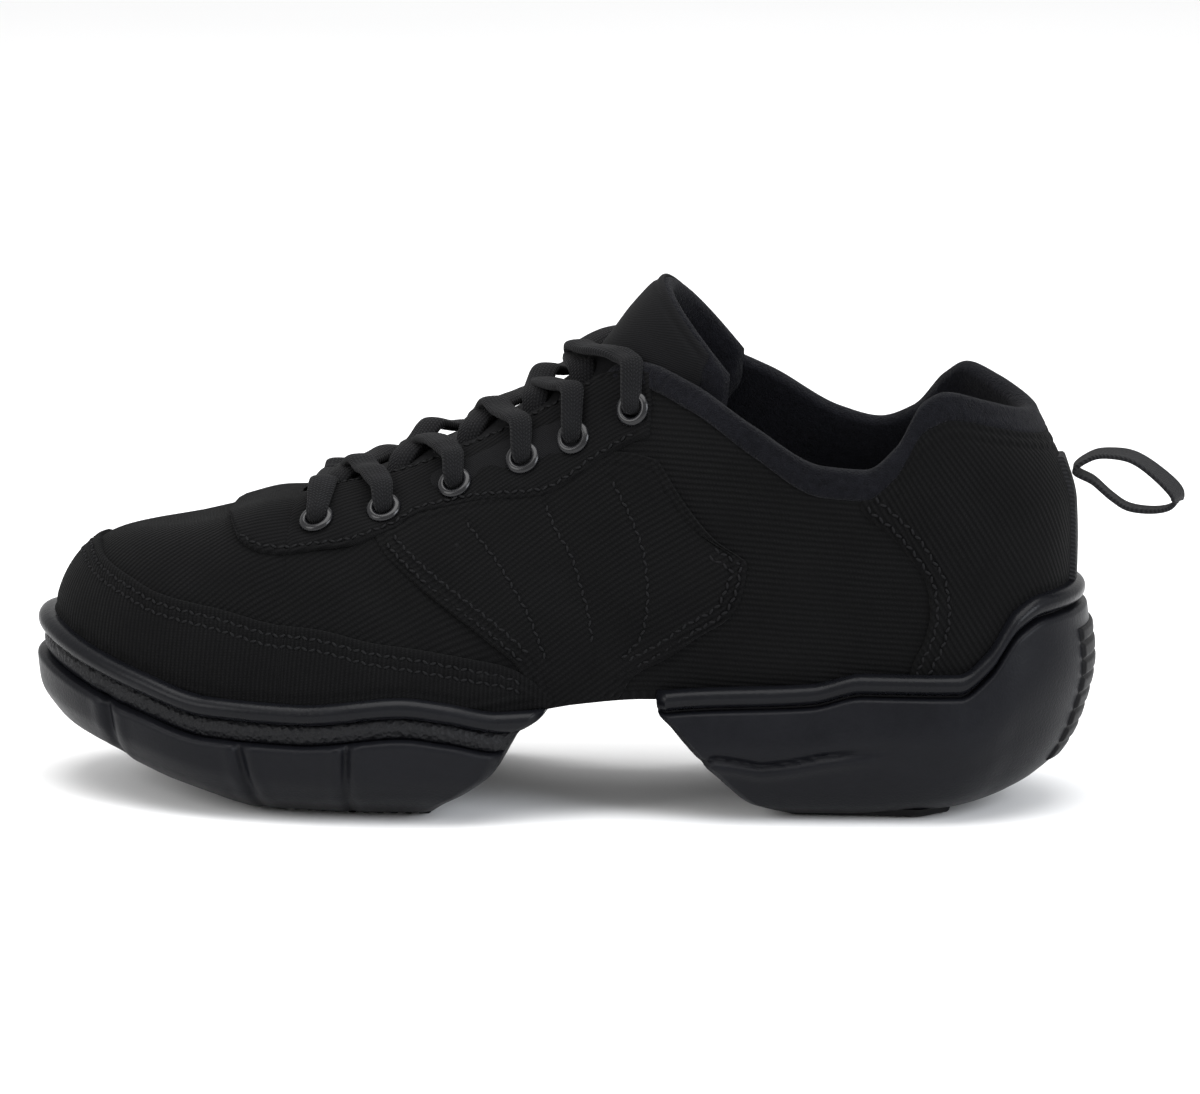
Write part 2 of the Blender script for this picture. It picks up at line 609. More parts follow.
def knitted_cord():
    """The lace: rows of tiny stitches that slant to its middle line."""
    paint = Paint("knitted_lace")
    along, across = paint.weave()
    fold = paint.node("ShaderNodeMath", {"operation": "ABSOLUTE"}, {0: across})
    stitches = ((along + fold * 0.7) / 0.00085).wave()
    rows = (across / 0.0009).wave()
    fuzz = paint.noise(0.0005, 3.0, 0.6)
    worn = paint.noise(0.009, 2.0)
    color = paint.blend((stitches * rows * 0.6 + fuzz * 0.35 + (worn - 0.5) * 0.5).clamp(),
                        (0.0022, 0.0022, 0.0025), (0.0105, 0.0105, 0.0117))
    return paint.finish(color, fuzz * 0.15 + 0.78, paint.bump(stitches * rows + fuzz * 0.5, 0.0003, 0.9),
                        Specular_IOR_Level=0.08, Sheen_Weight=0.03, Sheen_Roughness=0.5)


def thread():
    """Sewing thread, whose twist is only a fine unevenness."""
    paint = Paint("thread")
    twist = paint.noise(0.0004, 2.0)
    color = paint.blend(twist, (0.0014, 0.0014, 0.0016), (0.0058, 0.0058, 0.0065))
    return paint.finish(color, twist * 0.2 + 0.55, paint.bump(twist, 0.0001, 0.6), Specular_IOR_Level=0.1)


tongue_cloth, lining, tape = plain_cloth(), fleece(), webbing()
lace_knit, sewing_thread = knitted_cord(), thread()

# %% [markdown]
# ## Rubber and enamel
# The two blocks are moulded: satin black with a very fine pebble, glossier on the bead that ran against
# a polished mould, and duller where the sole scuffs. The rings are black enamel, glossy, a little worn
# at the rim. Roughness carries most of this; the colour hardly moves.

# %% Moulded materials
def rubber(name, color_low, color_high, rough, pebble, coat):
    """Moulded rubber: fine pebble as noise, slow patches of wear in the roughness, dust low in the colour."""
    paint = Paint(name)
    grain = paint.noise(pebble, 2.0, 0.5)
    patches = paint.noise(0.014, 4.0, 0.6)
    scuffs = paint.noise(0.0022, 3.0, 0.7)
    color = paint.blend((patches * 0.7 + scuffs * 0.3).clamp(), color_low, color_high)
    roughness = (patches - 0.5) * 0.24 + (scuffs - 0.5) * 0.16 + rough
    normal = paint.bump(grain + patches * 0.8, 0.00009, 0.85)
    return paint.finish(color, roughness, normal, Specular_IOR_Level=0.085, Coat_Weight=coat,
                        Coat_Roughness=0.25)


sole_rubber, bead_rubber, tread_rubber, insert_rubber = (rubber(*row) for row in (
    ("sole_rubber", (0.0024, 0.0025, 0.0034), (0.0062, 0.0065, 0.0084), 0.4, 0.0006, 0.01),
    ("bead_rubber", (0.0024, 0.0025, 0.0032), (0.0055, 0.0058, 0.0074), 0.3, 0.0009, 0.045),
    ("tread_rubber", (0.0024, 0.0024, 0.0028), (0.0075, 0.0075, 0.008), 0.6, 0.0008, 0.0),
    ("insert_rubber", (0.002, 0.002, 0.0024), (0.0055, 0.0055, 0.006), 0.5, 0.0007, 0.0)))


def channel_rubber():
    """The forefoot's recessed band, moulded with a coarse crumb that looks like stitching in a gutter."""
    paint = Paint("channel_rubber")
    crumb = paint.cells(900.0)
    grain = paint.noise(0.0012, 3.0, 0.6)
    color = paint.blend(grain, (0.0014, 0.0014, 0.0018), (0.0055, 0.0057, 0.0072))
    return paint.finish(color, grain * 0.2 + 0.45, paint.bump(crumb * 0.8 + grain * 0.6, 0.0005, 1.0),
                        Specular_IOR_Level=0.18)


def enamel():
    """Hard gloss with a slow unevenness, as on small stove-enamelled parts."""
    paint = Paint("black_enamel")
    patches = paint.noise(0.0015, 3.0)
    color = paint.blend(patches, (0.003, 0.003, 0.0036), (0.008, 0.008, 0.0092))
    return paint.finish(color, patches * 0.18 + 0.14, paint.bump(patches, 0.00005, 0.5), Coat_Weight=0.08,
                        Coat_Roughness=0.1, Specular_IOR_Level=0.27)


gutter, ring_enamel = channel_rubber(), enamel()

floor_paint = Paint("floor")
floor_color = floor_paint.blend(floor_paint.noise(0.4), (0.86, 0.86, 0.86), (0.9, 0.9, 0.9))
floor_material = floor_paint.finish(floor_color, 0.9, floor_paint.bump(floor_paint.noise(0.003), 0.0001, 0.1),
                                    Specular_IOR_Level=0.1)
floor_mesh = bpy.data.meshes.new("floor")
floor_mesh.from_pydata([(-9, -4, 0), (9, -4, 0), (9, 14, 0), (-9, 14, 0)], [], [(0, 1, 2, 3)])
floor_mesh.materials.append(floor_material)
floor_object = bpy.data.objects.new("floor", floor_mesh)
bpy.context.scene.collection.objects.link(floor_object)

# %% [markdown]
# ## The upper
# Under the panels is one hollow shell of cloth, foam and lining. It is a wall between the skin and a
# skin moved in, closed along the top edge as far as the throat opens, and over the ridge in front of
# it. The cloth isn't quite smooth: it gives a little where the foot bends and puckers along the seams,
# so a few soft troughs are placed by hand in the side view, in mm.

# %% Troughs and cloth coordinates
TROUGHS = [  # x and z of both ends, width, depth
    (-88, 66, -60, 52, 5.0, 0.30), (-74, 70, -52, 58, 4.0, 0.35), (-60, 66, -44, 52, 4.0, 0.30),
    (-100, 60, -80, 52, 6.0, 0.25), (-36, 58, -20, 38, 4.0, 0.35), (0, 40, 34, 46, 6.0, 0.50),
    (20, 76, 60, 60, 9.0, 0.55), (44, 50, 78, 44, 7.0, 0.45), (36, 82, 58, 70, 6.0, 0.35),
    (88, 88, 104, 72, 5.0, 0.30), (-6, 62, 8, 44, 4.0, 0.30), (60, 42, 90, 56, 8.0, 0.35)]


RAISED = 0.4  # how far the cloth swells beside a trough, as a share of its depth


def folds(points):
    """Sum of soft troughs: each is a bell across the distance from a short line in the side view."""
    depth = np.zeros(points.shape[:-1])
    for x0, z0, x1, z1, width, deep in TROUGHS:
        start, way = np.array([x0, z0]), np.array([x1 - x0, z1 - z0], float)
        flat = points[..., [0, 2]] - start
        t = np.clip((flat @ way) / (way @ way), 0, 1)
        off = np.linalg.norm(flat - t[..., None] * way, axis=-1)
        depth -= deep * bell(off, width) - RAISED * deep * bell(off - 1.8 * width, width)
    slow = 0.12 * np.sin(points[..., 0] / 7.3 + 1.3) * np.sin(points[..., 2] / 6.1 + points[..., 1] / 9.0)
    return depth + slow


GRID_S, GRID_V = 240, 90  # stations and levels of the table of arc lengths
s_rows, v_rows = stations(GRID_S), np.linspace(0, 1, GRID_V)
climbs = {side: arc_lengths(surface(s_rows[:, None], side, v_rows[None]), 1) for side in (-1, 1)}
walks = arc_lengths(surface(s_rows, -1, 0.4))


def climb(s, side, v):
    """How far up the rib a point lies, in mm, from a table of arc lengths."""
    i = np.clip(np.interp(s, s_rows, np.arange(GRID_S)), 0, GRID_S - 1.001)
    j = np.clip(v * (GRID_V - 1), 0, GRID_V - 1.001)
    low_i, low_j = i.astype(int), j.astype(int)
    ti, tj = i - low_i, j - low_j

    def read(rows):
        return mix(mix(rows[low_i, low_j], rows[low_i + 1, low_j], ti),
                   mix(rows[low_i, low_j + 1], rows[low_i + 1, low_j + 1], ti), tj)
    return np.where(side < 0, read(climbs[-1]), read(climbs[1]))


def whole_climb(s, side):
    """The rib's whole length in mm."""
    return climb(s, side, np.ones_like(s))


VAMP_CENTRE = 27.0  # height of the line that the vamp's cloth is wrapped round


def cloth_place(s, side, v, degrees, over_vamp=False):
    """Along and across the cords. Over the vamp the cloth is one sheet, measured from the ridge down."""
    s, side, v = np.broadcast_arrays(s, np.asarray(side, float), v)
    up, back = climb(s, side, v), -np.interp(s, s_rows, walks)
    if over_vamp:
        place = surface(s, side, v)
        back, aside = place[..., 0], place[..., 1] - axis_shift((HEEL_BACK - place[..., 0]) / UPPER_LENGTH)
        above = place[..., 2] - VAMP_CENTRE
        up = np.hypot(aside, above) * np.arctan2(aside, above)
    a = math.radians(degrees)
    return np.stack([back * math.cos(a) + up * math.sin(a), -back * math.sin(a) + up * math.cos(a)], -1)


# %% The shell
side_s = stations(270)
side_s[np.abs(side_s - THROAT_FRONT).argmin()] = THROAT_FRONT
nose = THROAT_FRONT - THROAT_NOSE * np.array([0.004, 0.015, 0.035, 0.06, 0.16, 0.28])
ring_s, ring_side = both_sides(np.sort(np.concatenate([side_s, nose])))
LEVELS = 72
S, SIDE, V = ring_s[:, None], ring_side[:, None], np.linspace(0, 1, LEVELS)[None]


def lining_depth(s, v):
    """How thick the wall is: foam is added in the collar."""
    return mix(UPPER_WALL, COLLAR_PAD, soft((v - 0.62) / 0.3) * soft((COLLAR_FRONT - s) / 0.05))


bare, normals = skin(S, SIDE, V), outward(S, SIDE, V)
hollow = soft((V - 0.02) / 0.1) * soft((1 - V) / 0.06 + (S > THROAT_FRONT))
EYELETS = table("s v", [(0.724, 0.76), (0.658, 0.76), (0.589, 0.79), (0.523, 0.79), (0.474, 0.8),
    (0.415, 0.86)])


def from_eyelets(base):
    """The distance in mm of each point from each of the twelve ring centres."""
    return np.stack([np.linalg.norm(base - spot, axis=-1) for side in (-1, 1)
                     for spot in surface(EYELETS["s"], side, EYELETS["v"])])


pits = -3.0 * soft((3.3 - from_eyelets(bare)) / 0.8).sum(0)
outer_skin = bare + normals * (folds(bare) * hollow + pits)[..., None]
inner_skin = bare - normals * (lining_depth(S, V) - pits)[..., None]
rim = (outer_skin[:, -1] + inner_skin[:, -1]) / 2 + unit(bare[:, -1] - bare[:, -3]) * 0.7
count = len(ring_s)
points = np.concatenate([outer_skin.reshape(-1, 3), inner_skin.reshape(-1, 3), rim])
index = np.arange(count * LEVELS).reshape(count, LEVELS)
back_of = index + count * LEVELS
rim_of = 2 * count * LEVELS + np.arange(count)
opened = (ring_s[:-1] <= THROAT_FRONT + 1e-9) & (ring_s[1:] <= THROAT_FRONT + 1e-9)


def strip(first, second):
    """Faces between two rows of point numbers."""
    return np.stack([first[:-1], first[1:], second[1:], second[:-1]], -1)


outer_faces = faces_of(count, LEVELS)[:, ::-1]
upper_faces = np.concatenate([
    outer_faces, outer_faces[:, ::-1] + count * LEVELS,
    strip(index[:, -1], rim_of)[opened][:, ::-1], strip(rim_of, back_of[:, -1])[opened][:, ::-1],
    strip(index[:, 0], back_of[:, 0])])
weave = np.where((S > 0.5)[..., None], cloth_place(S, SIDE, V, 28, True), cloth_place(S, SIDE, V, -4))
weave = np.concatenate([weave.reshape(-1, 2), weave.reshape(-1, 2), weave[:, -1]])
piece("upper_cloth", points, upper_faces, cloth, "cloth", weave=weave, replaces=("upper",))

# %% [markdown]
# ## Sewn panels
# Toe wrap, eyestay, saddles and heel counter are cut from the same canvas, turned in at the edge and
# sewn down. Each is a slab: a grid between two of its edges, lifted off the skin by its thickness and
# rounded down at its rim, with a hidden back so that it is a closed solid. Their outlines are the ones
# that the solids use, traced from the side.

# %% A slab on the skin
ALL_EDGES = ((True, True), (True, True))


def rim_distance(points, closed_edges=ALL_EDGES):
    """The distance in mm of each grid point from the nearest real edge of the panel."""
    near = np.full(points.shape[:2], 1e3)
    for axis in (0, 1):
        along = arc_lengths(points, axis)
        if closed_edges[axis][0]:
            near = np.minimum(near, along)
        if closed_edges[axis][1]:
            near = np.minimum(near, np.take(along, [-1], axis=axis) - along)
    return near


EDGE = 0.9  # radius of a turned edge
LOW = 0.05  # where a panel's rim meets the skin
BURIED = 0.5  # how far a panel's hidden back lies under its rim


def slab(name, s, side, v, thickness, material, slot, weave, low=LOW, edges=ALL_EDGES, relief=None, **extra):
    """Skin + outward * (low + (thickness - low) * quarter round of the distance to the rim)."""
    s, side, v = np.broadcast_arrays(s, np.asarray(side, float), v)
    base, normal = surface(s, side, v), outward(s, side, v)
    near = rim_distance(base, edges)
    rounded = quarter_round(near, EDGE)
    height = low + (thickness - low) * rounded + folds(base) * soft(near / 6)
    if relief is not None:
        height = height + relief(base, near) * rounded
    return two_faced(name, base + normal * height[..., None],
                     base + normal * (low - BURIED * rounded)[..., None], material, slot, weave, **extra)


def spaced(count, even=0.25):
    """From 0 to 1, closer at both ends."""
    t = np.linspace(0, 1, count)
    return mix((1 - np.cos(np.pi * t)) / 2, t, even)


def upon(name, side, s):
    """v of a traced line at s, read as a share of where the ribs bend."""
    if np.ndim(side):
        return np.where(side < 0, upon(name, -1, s), upon(name, 1, s))
    line_s, line_v = traced[name, side]
    order = np.argsort(line_s)
    return np.interp(s, line_s[order], (line_v / bend_of(line_s))[order]) * bend_of(s)


def along_line(name, side, v):
    """s of a traced line at v."""
    if np.ndim(side):
        return np.where(side < 0, along_line(name, -1, v), along_line(name, 1, v))
    line_s, line_v = traced[name, side]
    return np.interp(v, line_v[::-1], line_s[::-1])


# %% Outlines in the side view, x and z in mm
def outline(rows):
    """Shares s and height of the solids' tables, as points of the side view."""
    rows = np.array(rows, float)
    return np.stack([x_of(rows[:, 0]), top_height(rows[:, 1])], -1)


TOE_TOP = outline([(0.951, 0.384), (0.939, 0.351), (0.908, 0.315), (0.879, 0.284), (0.824, 0.259),
                   (0.766, 0.222),
                   (0.712, 0.207), (0.66, 0.175), (0.615, 0.158), (0.56, 0.127), (0.532, 0.106),
                   (0.506, 0.062),
                   (0.486, 0.0)])
STAY_FOOT = outline([(0.821, 0.497), (0.799, 0.443), (0.774, 0.414), (0.731, 0.424),
                     (0.697, 0.441), (0.65, 0.488),
                     (0.62, 0.543), (0.579, 0.575), (0.502, 0.606), (0.471, 0.662), (0.447, 0.718),
                     (0.415, 0.78),
                     (0.398, 0.80)])
SADDLE_FRONT = outline([(0.67, 0.50), (0.659, 0.443), (0.642, 0.395), (0.618, 0.338), (0.595, 0.288),
                        (0.575, 0.243), (0.549, 0.181), (0.52, 0.1), (0.505, 0.0)])
SADDLE_REAR = outline([(0.405, 0.80), (0.333, 0.497), (0.302, 0.425), (0.305, 0.341), (0.318, 0.259),
                       (0.351, 0.189), (0.378, 0.127), (0.411, 0.068), (0.425, 0.0)])
COUNTER_FRONT = outline([(0.195, 0.598), (0.169, 0.527), (0.144, 0.436), (0.129, 0.345), (0.127, 0.274),
                         (0.132, 0.195), (0.143, 0.118), (0.148, 0.06)])
L2, L3, L4 = [np.array(rows, float) for rows in (
    [(-30.2, 72.7), (-26.7, 69.3), (-21.1, 63.2), (-16.9, 57.1), (-13.3, 51.1), (-8.8, 40.2)],
    [(-10.6, 77.5), (-7.6, 71.5), (-3.2, 64.7), (-0.8, 57.7), (1.1, 51.1), (2.2, 43.4), (1.5, 36)],
    [(5.6, 83.6), (11.4, 73.6), (14.5, 65.1), (15.4, 55.8), (14.1, 47.1), (9.1, 40.6)])]
traced = {(name, side): seam(side, rows) for side in (-1, 1) for name, rows in (
    ("toe", TOE_TOP), ("stay", STAY_FOOT), ("saddle_front", SADDLE_FRONT), ("saddle_rear", SADDLE_REAR),
    ("counter", COUNTER_FRONT), ("l2", L2), ("l3", L3), ("l4", L4))}


def gutters(base, lines, width=0.7, depth=0.4):
    """Minus a bell across the distance from each line of the side view."""
    low = np.zeros(base.shape[:-1])
    flat = base[..., [0, 2]]
    even = np.linspace(0, 1, 90)
    for line in lines:
        knots = np.linspace(0, 1, len(line))
        near = np.full(low.shape, 1e3)
        for spot in np.stack([np.interp(even, knots, line[:, i]) for i in (0, 1)], -1):
            near = np.minimum(near, ((flat - spot) ** 2).sum(-1))
        low -= depth * np.exp(-near / width ** 2)
    return low


# %% Toe wrap
SOLE_TOP = table("s height", [
    (0.0, 1.82), (0.03, 1.8), (0.05, 1.7), (0.075, 1.38), (0.1, 1.22), (0.19, 1.22), (0.24, 1.13),
    (0.36, 1.08),
    (0.42, 1.02), (0.5, 0.93), (0.54, 0.92), (0.59, 1.0), (0.63, 1.04), (0.73, 0.96), (0.82, 0.98),
    (0.88, 1.1),
    (0.94, 1.24), (1.0, 1.42)])


def bead_top(s):
    return at(SOLE_TOP, "height", s) * HEEL_SEAT


def v_at_height(s, side, z):
    """v where the rib at s reaches a height, by halving."""
    s, side, z = np.broadcast_arrays(s, side, z)
    low, high = np.zeros(s.shape), np.ones(s.shape)
    for _ in range(22):
        middle = (low + high) / 2
        below = surface(s, side, middle)[..., 2] < z
        low, high = np.where(below, middle, low), np.where(below, high, middle)
    return low


def quilted(rows_from_edge, step):
    """Relief of stitch rows: a gutter at each distance from the rim, pulled deeper at every stitch."""
    def relief(base, near):
        turn = np.cos(2 * np.pi * (base[..., 0] + 0.35 * base[..., 1]) / step)
        low = (0.12 - 0.08 * turn) * bell(near - np.mean(rows_from_edge), 0.8)
        for distance in rows_from_edge:
            low -= (0.26 + 0.1 * turn) * bell(near - distance, 0.7)
        return low
    return relief


UNDER_BEAD = 4.0  # how far a panel reaches down behind the bead
wrap_s, wrap_side = both_sides(stations(300, 0.492, 1.0))
wrap_top = upon("toe", wrap_side, wrap_s)
wrap_low = np.minimum(v_at_height(wrap_s, wrap_side, bead_top(wrap_s) - UNDER_BEAD), wrap_top - 0.01)
S, SIDE = wrap_s[:, None], wrap_side[:, None]
V = mix(wrap_low[:, None], wrap_top[:, None], spaced(34)[None])
slab("toe_wrap_cloth", S, SIDE, V, 1.15, fine_cloth, "cloth", cloth_place(S, SIDE, V, 86),
     replaces=("toe_wrap",), relief=quilted((2.6, 5.0), 2.7))

# %% Eyestay
stay_s, stay_side = both_sides(np.sort(np.concatenate([stations(230, 0.398, 0.8205), nose, [THROAT_FRONT]])))
stay_low = np.minimum(upon("stay", stay_side, stay_s), 0.995)
S, SIDE = stay_s[:, None], stay_side[:, None]
V = mix(stay_low[:, None], 1.0, spaced(40)[None])


def stay_rim(base):
    """Only the foot, the two rear ends and the throat's edge are real edges; the ridge isn't."""
    near = rim_distance(base, ((True, True), (True, False)))
    throat = rim_distance(base, ((False, False), (False, True)))
    return np.where(S <= THROAT_FRONT, np.minimum(near, throat + np.clip((S - 0.74) / 0.011, 0, 1) * 9), near)


base, normal = surface(S, SIDE, V), outward(S, SIDE, V)
near = stay_rim(base)
rounded = quarter_round(near, EDGE)
off = from_eyelets(base)
pulled = -0.35 * bell(off - 4.6, 1.6).sum(0)
pit = -4.2 * soft((3.0 - off) / 0.7).sum(0)
relief = (folds(base) + pulled + quilted((1.6,), 2.7)(base, near)) * soft(near / 1.2) * rounded
height = LOW + 1.15 * rounded + relief
two_faced("eyestay_cloth", base + normal * (height + pit)[..., None],
          base + normal * (LOW - BURIED * rounded + pit)[..., None], fine_cloth, "cloth",
          cloth_place(S, SIDE, V, 24), replaces=("eyestay",))

# %% Saddles, heel counter and the tape on the heel back
def saddle_relief(base, near):
    """The three curved seams, and the stitch rows along the panel's edge."""
    return gutters(base, (L2, L3, L4)) + quilted((1.8, 4.2), 2.6)(base, near)


SADDLE_REACH = 1.14  # the grid goes on past the eyestay's foot, and is then cut off under it
for side, name in ((-1, "outer"), (1, "inner")):
    V = spaced(90, 0.6)[None] * upon("stay", side, 0.5) * SADDLE_REACH
    ahead, behind = (along_line(edge, side, V) for edge in ("saddle_front", "saddle_rear"))
    S = mix(ahead, behind, spaced(110, 0.6)[:, None])
    V = np.minimum(np.broadcast_to(V, S.shape), upon("stay", side, S) + 0.03)
    slab(f"saddle_{name}_cloth", S, side, V, 0.85, cloth, "cloth", cloth_place(S, side, V, 30),
         replaces=(f"saddle_{name}",), edges=((True, True), (False, True)), relief=saddle_relief)

COLLAR_BAND = 5.4  # mm of fleece that shows outside
around = np.linspace(-1, 1, 180)[:, None]
share = np.abs(around)
side = np.where(around < 0, -1.0, 1.0)
up = spaced(80, 0.6)[None]
S = share * 0.15 + 0 * up
for _ in range(8):  # the counter's reach depends on v, and v at the bead on s
    low = v_at_height(S, side, bead_top(S) - UNDER_BEAD)
    V = mix(low, 1 - (COLLAR_BAND - 0.8) / whole_climb(S, side), up)
    reach = along_line("counter", side, V)
    S = (1 - np.cos(share * np.pi / 2)) * reach * 0.55 + share ** 1.6 * reach * 0.45
slab("heel_counter_cloth", S, side, V, 1.0, cloth, "cloth", cloth_place(S, side, V, -58),
     replaces=("heel_counter",), relief=quilted((1.8, 4.6), 2.6))

TAPE_HALF, TAPE_LOW, TAPE_HIGH = 4.9, 55.0, 86.5
heel_s = np.linspace(0, 0.03, 400)
reach_y = np.abs(surface(heel_s, -1, 0.5)[:, 1])
y = np.linspace(-TAPE_HALF, TAPE_HALF, 25)
S, SIDE = np.interp(np.abs(y), reach_y, heel_s)[:, None], np.where(y < 0, -1.0, 1.0)[:, None]
low, high = v_at_height(np.zeros(2), -1.0, np.array([TAPE_LOW, TAPE_HIGH]))
V = mix(low, high, spaced(60, 0.7))[None]
place = np.stack(np.broadcast_arrays(V * whole_climb(np.zeros(1), -1), y[:, None] + 5), -1)
slab("back_tape", S, SIDE, V, 2.3, tape, "webbing", place, replaces=("back_strip",), low=0.6)

# %% [markdown]
# ## The two blocks of the sole
# Each block is a loft: closed loops, one above the other, that follow the last's edge at a distance.
# Each loop passes along one side, round the toe or the heel, back along the other side and across the
# face that looks at the arch. The bead is half a circle in section, with a thin groove under it.
# Moulded rubber has no sharp corner anywhere, so every turn gets a few extra loops.

# %% Profiles of the blocks
BEAD_HEIGHT, BEAD_PROUD, GROOVE_PROUD, CHANNEL = 5.0, 5.0, 3.3, 4.0
BEAD_CENTRE = 2.3  # how far out the bead's half circle is centred
HIDDEN = -1.6  # where the top loops hide inside the upper
ROLL = 1.4  # radius of the ledge's edge
LEDGE = table("s below out", [
    (0.0, 0.02, 0.12), (0.1, 0.02, 0.125), (0.4, 0.02, 0.115), (0.5, 0.13, 0.1), (0.6, 0.13, 0.12),
    (0.85, 0.13, 0.125), (1.0, 0.13, 0.115)])
SOLE_WALL = table("down front heel", [
    (0.0, 0.0, 0.0), (0.3, 0.015, -0.03), (0.62, 0.1, 0.03), (0.84, 0.24, 0.13), (0.95, 0.36, 0.25),
    (1.0, 0.5, 0.36)])
FRONT_BOTTOM = table("s height", [
    (0.5, 0.0), (0.775, 0.0), (0.8, 0.03), (0.825, 0.085), (0.862, 0.16), (0.906, 0.235), (0.928, 0.29),
    (0.953, 0.315), (0.976, 0.335), (1.0, 0.375)])
HEEL_BOTTOM = table("s height", [
    (0.0, 0.245), (0.024, 0.22), (0.044, 0.184), (0.07, 0.14), (0.0895, 0.1), (0.0935, 0.0), (0.5, 0.0)])
HEEL_FOOT = table("s height", [
    (0.0, 0.245), (0.024, 0.22), (0.044, 0.184), (0.07, 0.14), (0.0895, 0.104), (0.12, 0.06),
    (0.16, 0.02),
    (0.2, 0.0), (0.5, 0.0)])
FRONT_REAR = table("height s", [
    (-0.1, 0.62), (0.0, 0.612), (0.1, 0.6), (0.26, 0.569), (0.4, 0.547), (0.58, 0.535),
    (0.73, 0.523), (0.86, 0.5),
    (1.1, 0.485)])
HEEL_FRONT = table("height s", [
    (-0.1, 0.25), (0.0, 0.262), (0.14, 0.3), (0.29, 0.319), (0.4, 0.332), (0.76, 0.372),
    (0.9, 0.387), (1.3, 0.388)])
END_CENTRE = 0.78 * BALL_HALF


def edge_ways(s, side):
    """The feather line, the plan direction out of it, and the one from it to the sole's middle."""
    e = 0.002
    line = surface(s, side, 0.0)
    along = surface(np.clip(s + e, 0, 1), side, 0.0) - surface(np.clip(s - e, 0, 1), side, 0.0)
    out = np.stack([along[..., 1], -along[..., 0], 0 * s], -1) * side[..., None]
    out = unit(out) * [1, 1, 0]
    ends = np.maximum(np.clip(1 - s / 0.002, 0, 1), np.clip((s - 0.998) / 0.002, 0, 1))
    out[..., 1] *= 1 - ends
    x = np.clip(line[..., 0], HEEL_BACK - UPPER_LENGTH + END_CENTRE, HEEL_BACK - END_CENTRE)
    middle = np.stack([x, axis_shift((HEEL_BACK - x) / UPPER_LENGTH), line[..., 2]], -1)
    return line, unit(out), unit(middle - line)

def wall_inward(front, down):
    """How far in the side wall lies at a share of the way down."""
    return float(at(SOLE_WALL, "front" if front else "heel", down)) * BALL_HALF
def block_rows(front):
    """The section from top to bottom: how far out, how high and how far inward each loop stands.

    Half circle for the bead, a groove, on the forefoot a recessed band, a rounded ledge, and a wall that
    bellies out and turns under. Heights are functions of s and of the place along the shoe.
    """
    def groove(s):
        return bead_top(s) - BEAD_HEIGHT

    def ledge_top(s):
        below = at(LEDGE, "below", s) * HEEL_SEAT
        return groove(s) - (CHANNEL + 0.3 * below if front else below)

    def ledge_out(s):
        return at(LEDGE, "out", s) * BALL_HALF

    def level(out):
        return lambda s: out + 0 * s

    rows = [(level(HIDDEN), lambda s, p: feather(s) - 0.4, 0.0),
            (level(HIDDEN), lambda s, p: bead_top(s) - 0.3, 0.0)]
    for angle in np.radians(np.linspace(95, -75, 13)):
        rows.append((level(BEAD_CENTRE + (BEAD_PROUD - BEAD_CENTRE) * math.cos(angle)),
                     lambda s, p, a=angle: groove(s) + 0.5 * BEAD_HEIGHT * (1 + math.sin(a)), 0.0))
    rows.append((level(GROOVE_PROUD - 1.3), lambda s, p: groove(s) + 0.1, 0.0))
    if front:
        for t in (0.08, 0.2, 0.35, 0.5, 0.65, 0.8, 0.92):
            rows.append((level(GROOVE_PROUD - 0.5 + 0.7 * math.sin(math.pi * t)),
                         lambda s, p, t=t: mix(groove(s) - 0.1, ledge_top(s) + 0.3, t), 0.0))
    rows.append((level(GROOVE_PROUD - 1.2), lambda s, p: ledge_top(s) + 0.15, 0.0))
    for angle in np.radians([90, 65, 40, 20, 0]):
        rows.append((lambda s, a=angle: ledge_out(s) - ROLL * (1 - math.cos(a)),
                     lambda s, p, a=angle: ledge_top(s) - ROLL * (1 - math.sin(a)), 0.0))
    foot = FRONT_BOTTOM if front else HEEL_FOOT
    wall = np.linspace(0.03, 0.93, 26 if front else 44)
    for down in np.concatenate([wall, [0.955, 0.975, 0.988, 0.996, 1.0]]):
        rows.append((ledge_out,
                     lambda s, p, d=down: mix(ledge_top(s) - ROLL, at(foot, "height", p) * HEEL_SEAT, d),
                     wall_inward(front, down)))
    return rows


def row_points(row, s, side, extra=0.0):
    """Where one loop of the section stands at s."""
    out, height, inward = row
    line, away, middle = edge_ways(s, side)
    p = line + away * (out(s) + extra)[..., None] + middle * inward
    p[..., 2] = height(s, (HEEL_BACK - p[..., 0]) / UPPER_LENGTH)
    return p


def meets_arch(row, front, side, extra=0.0):
    """s where the loop reaches the face that looks at the arch, by halving."""
    rear = FRONT_REAR if front else HEEL_FRONT
    low, high = (0.44, 0.72) if front else (0.2, 0.42)
    side = np.array(float(side))
    for _ in range(24):
        s = np.array((low + high) / 2)
        p = row_points(row, s, side, extra)
        face = x_of(at(rear, "s", p[2] / HEEL_SEAT)) + (extra if front else -extra)
        ahead = p[0] > face
        low, high = (s, high) if ahead else (low, s)
    return float(s)

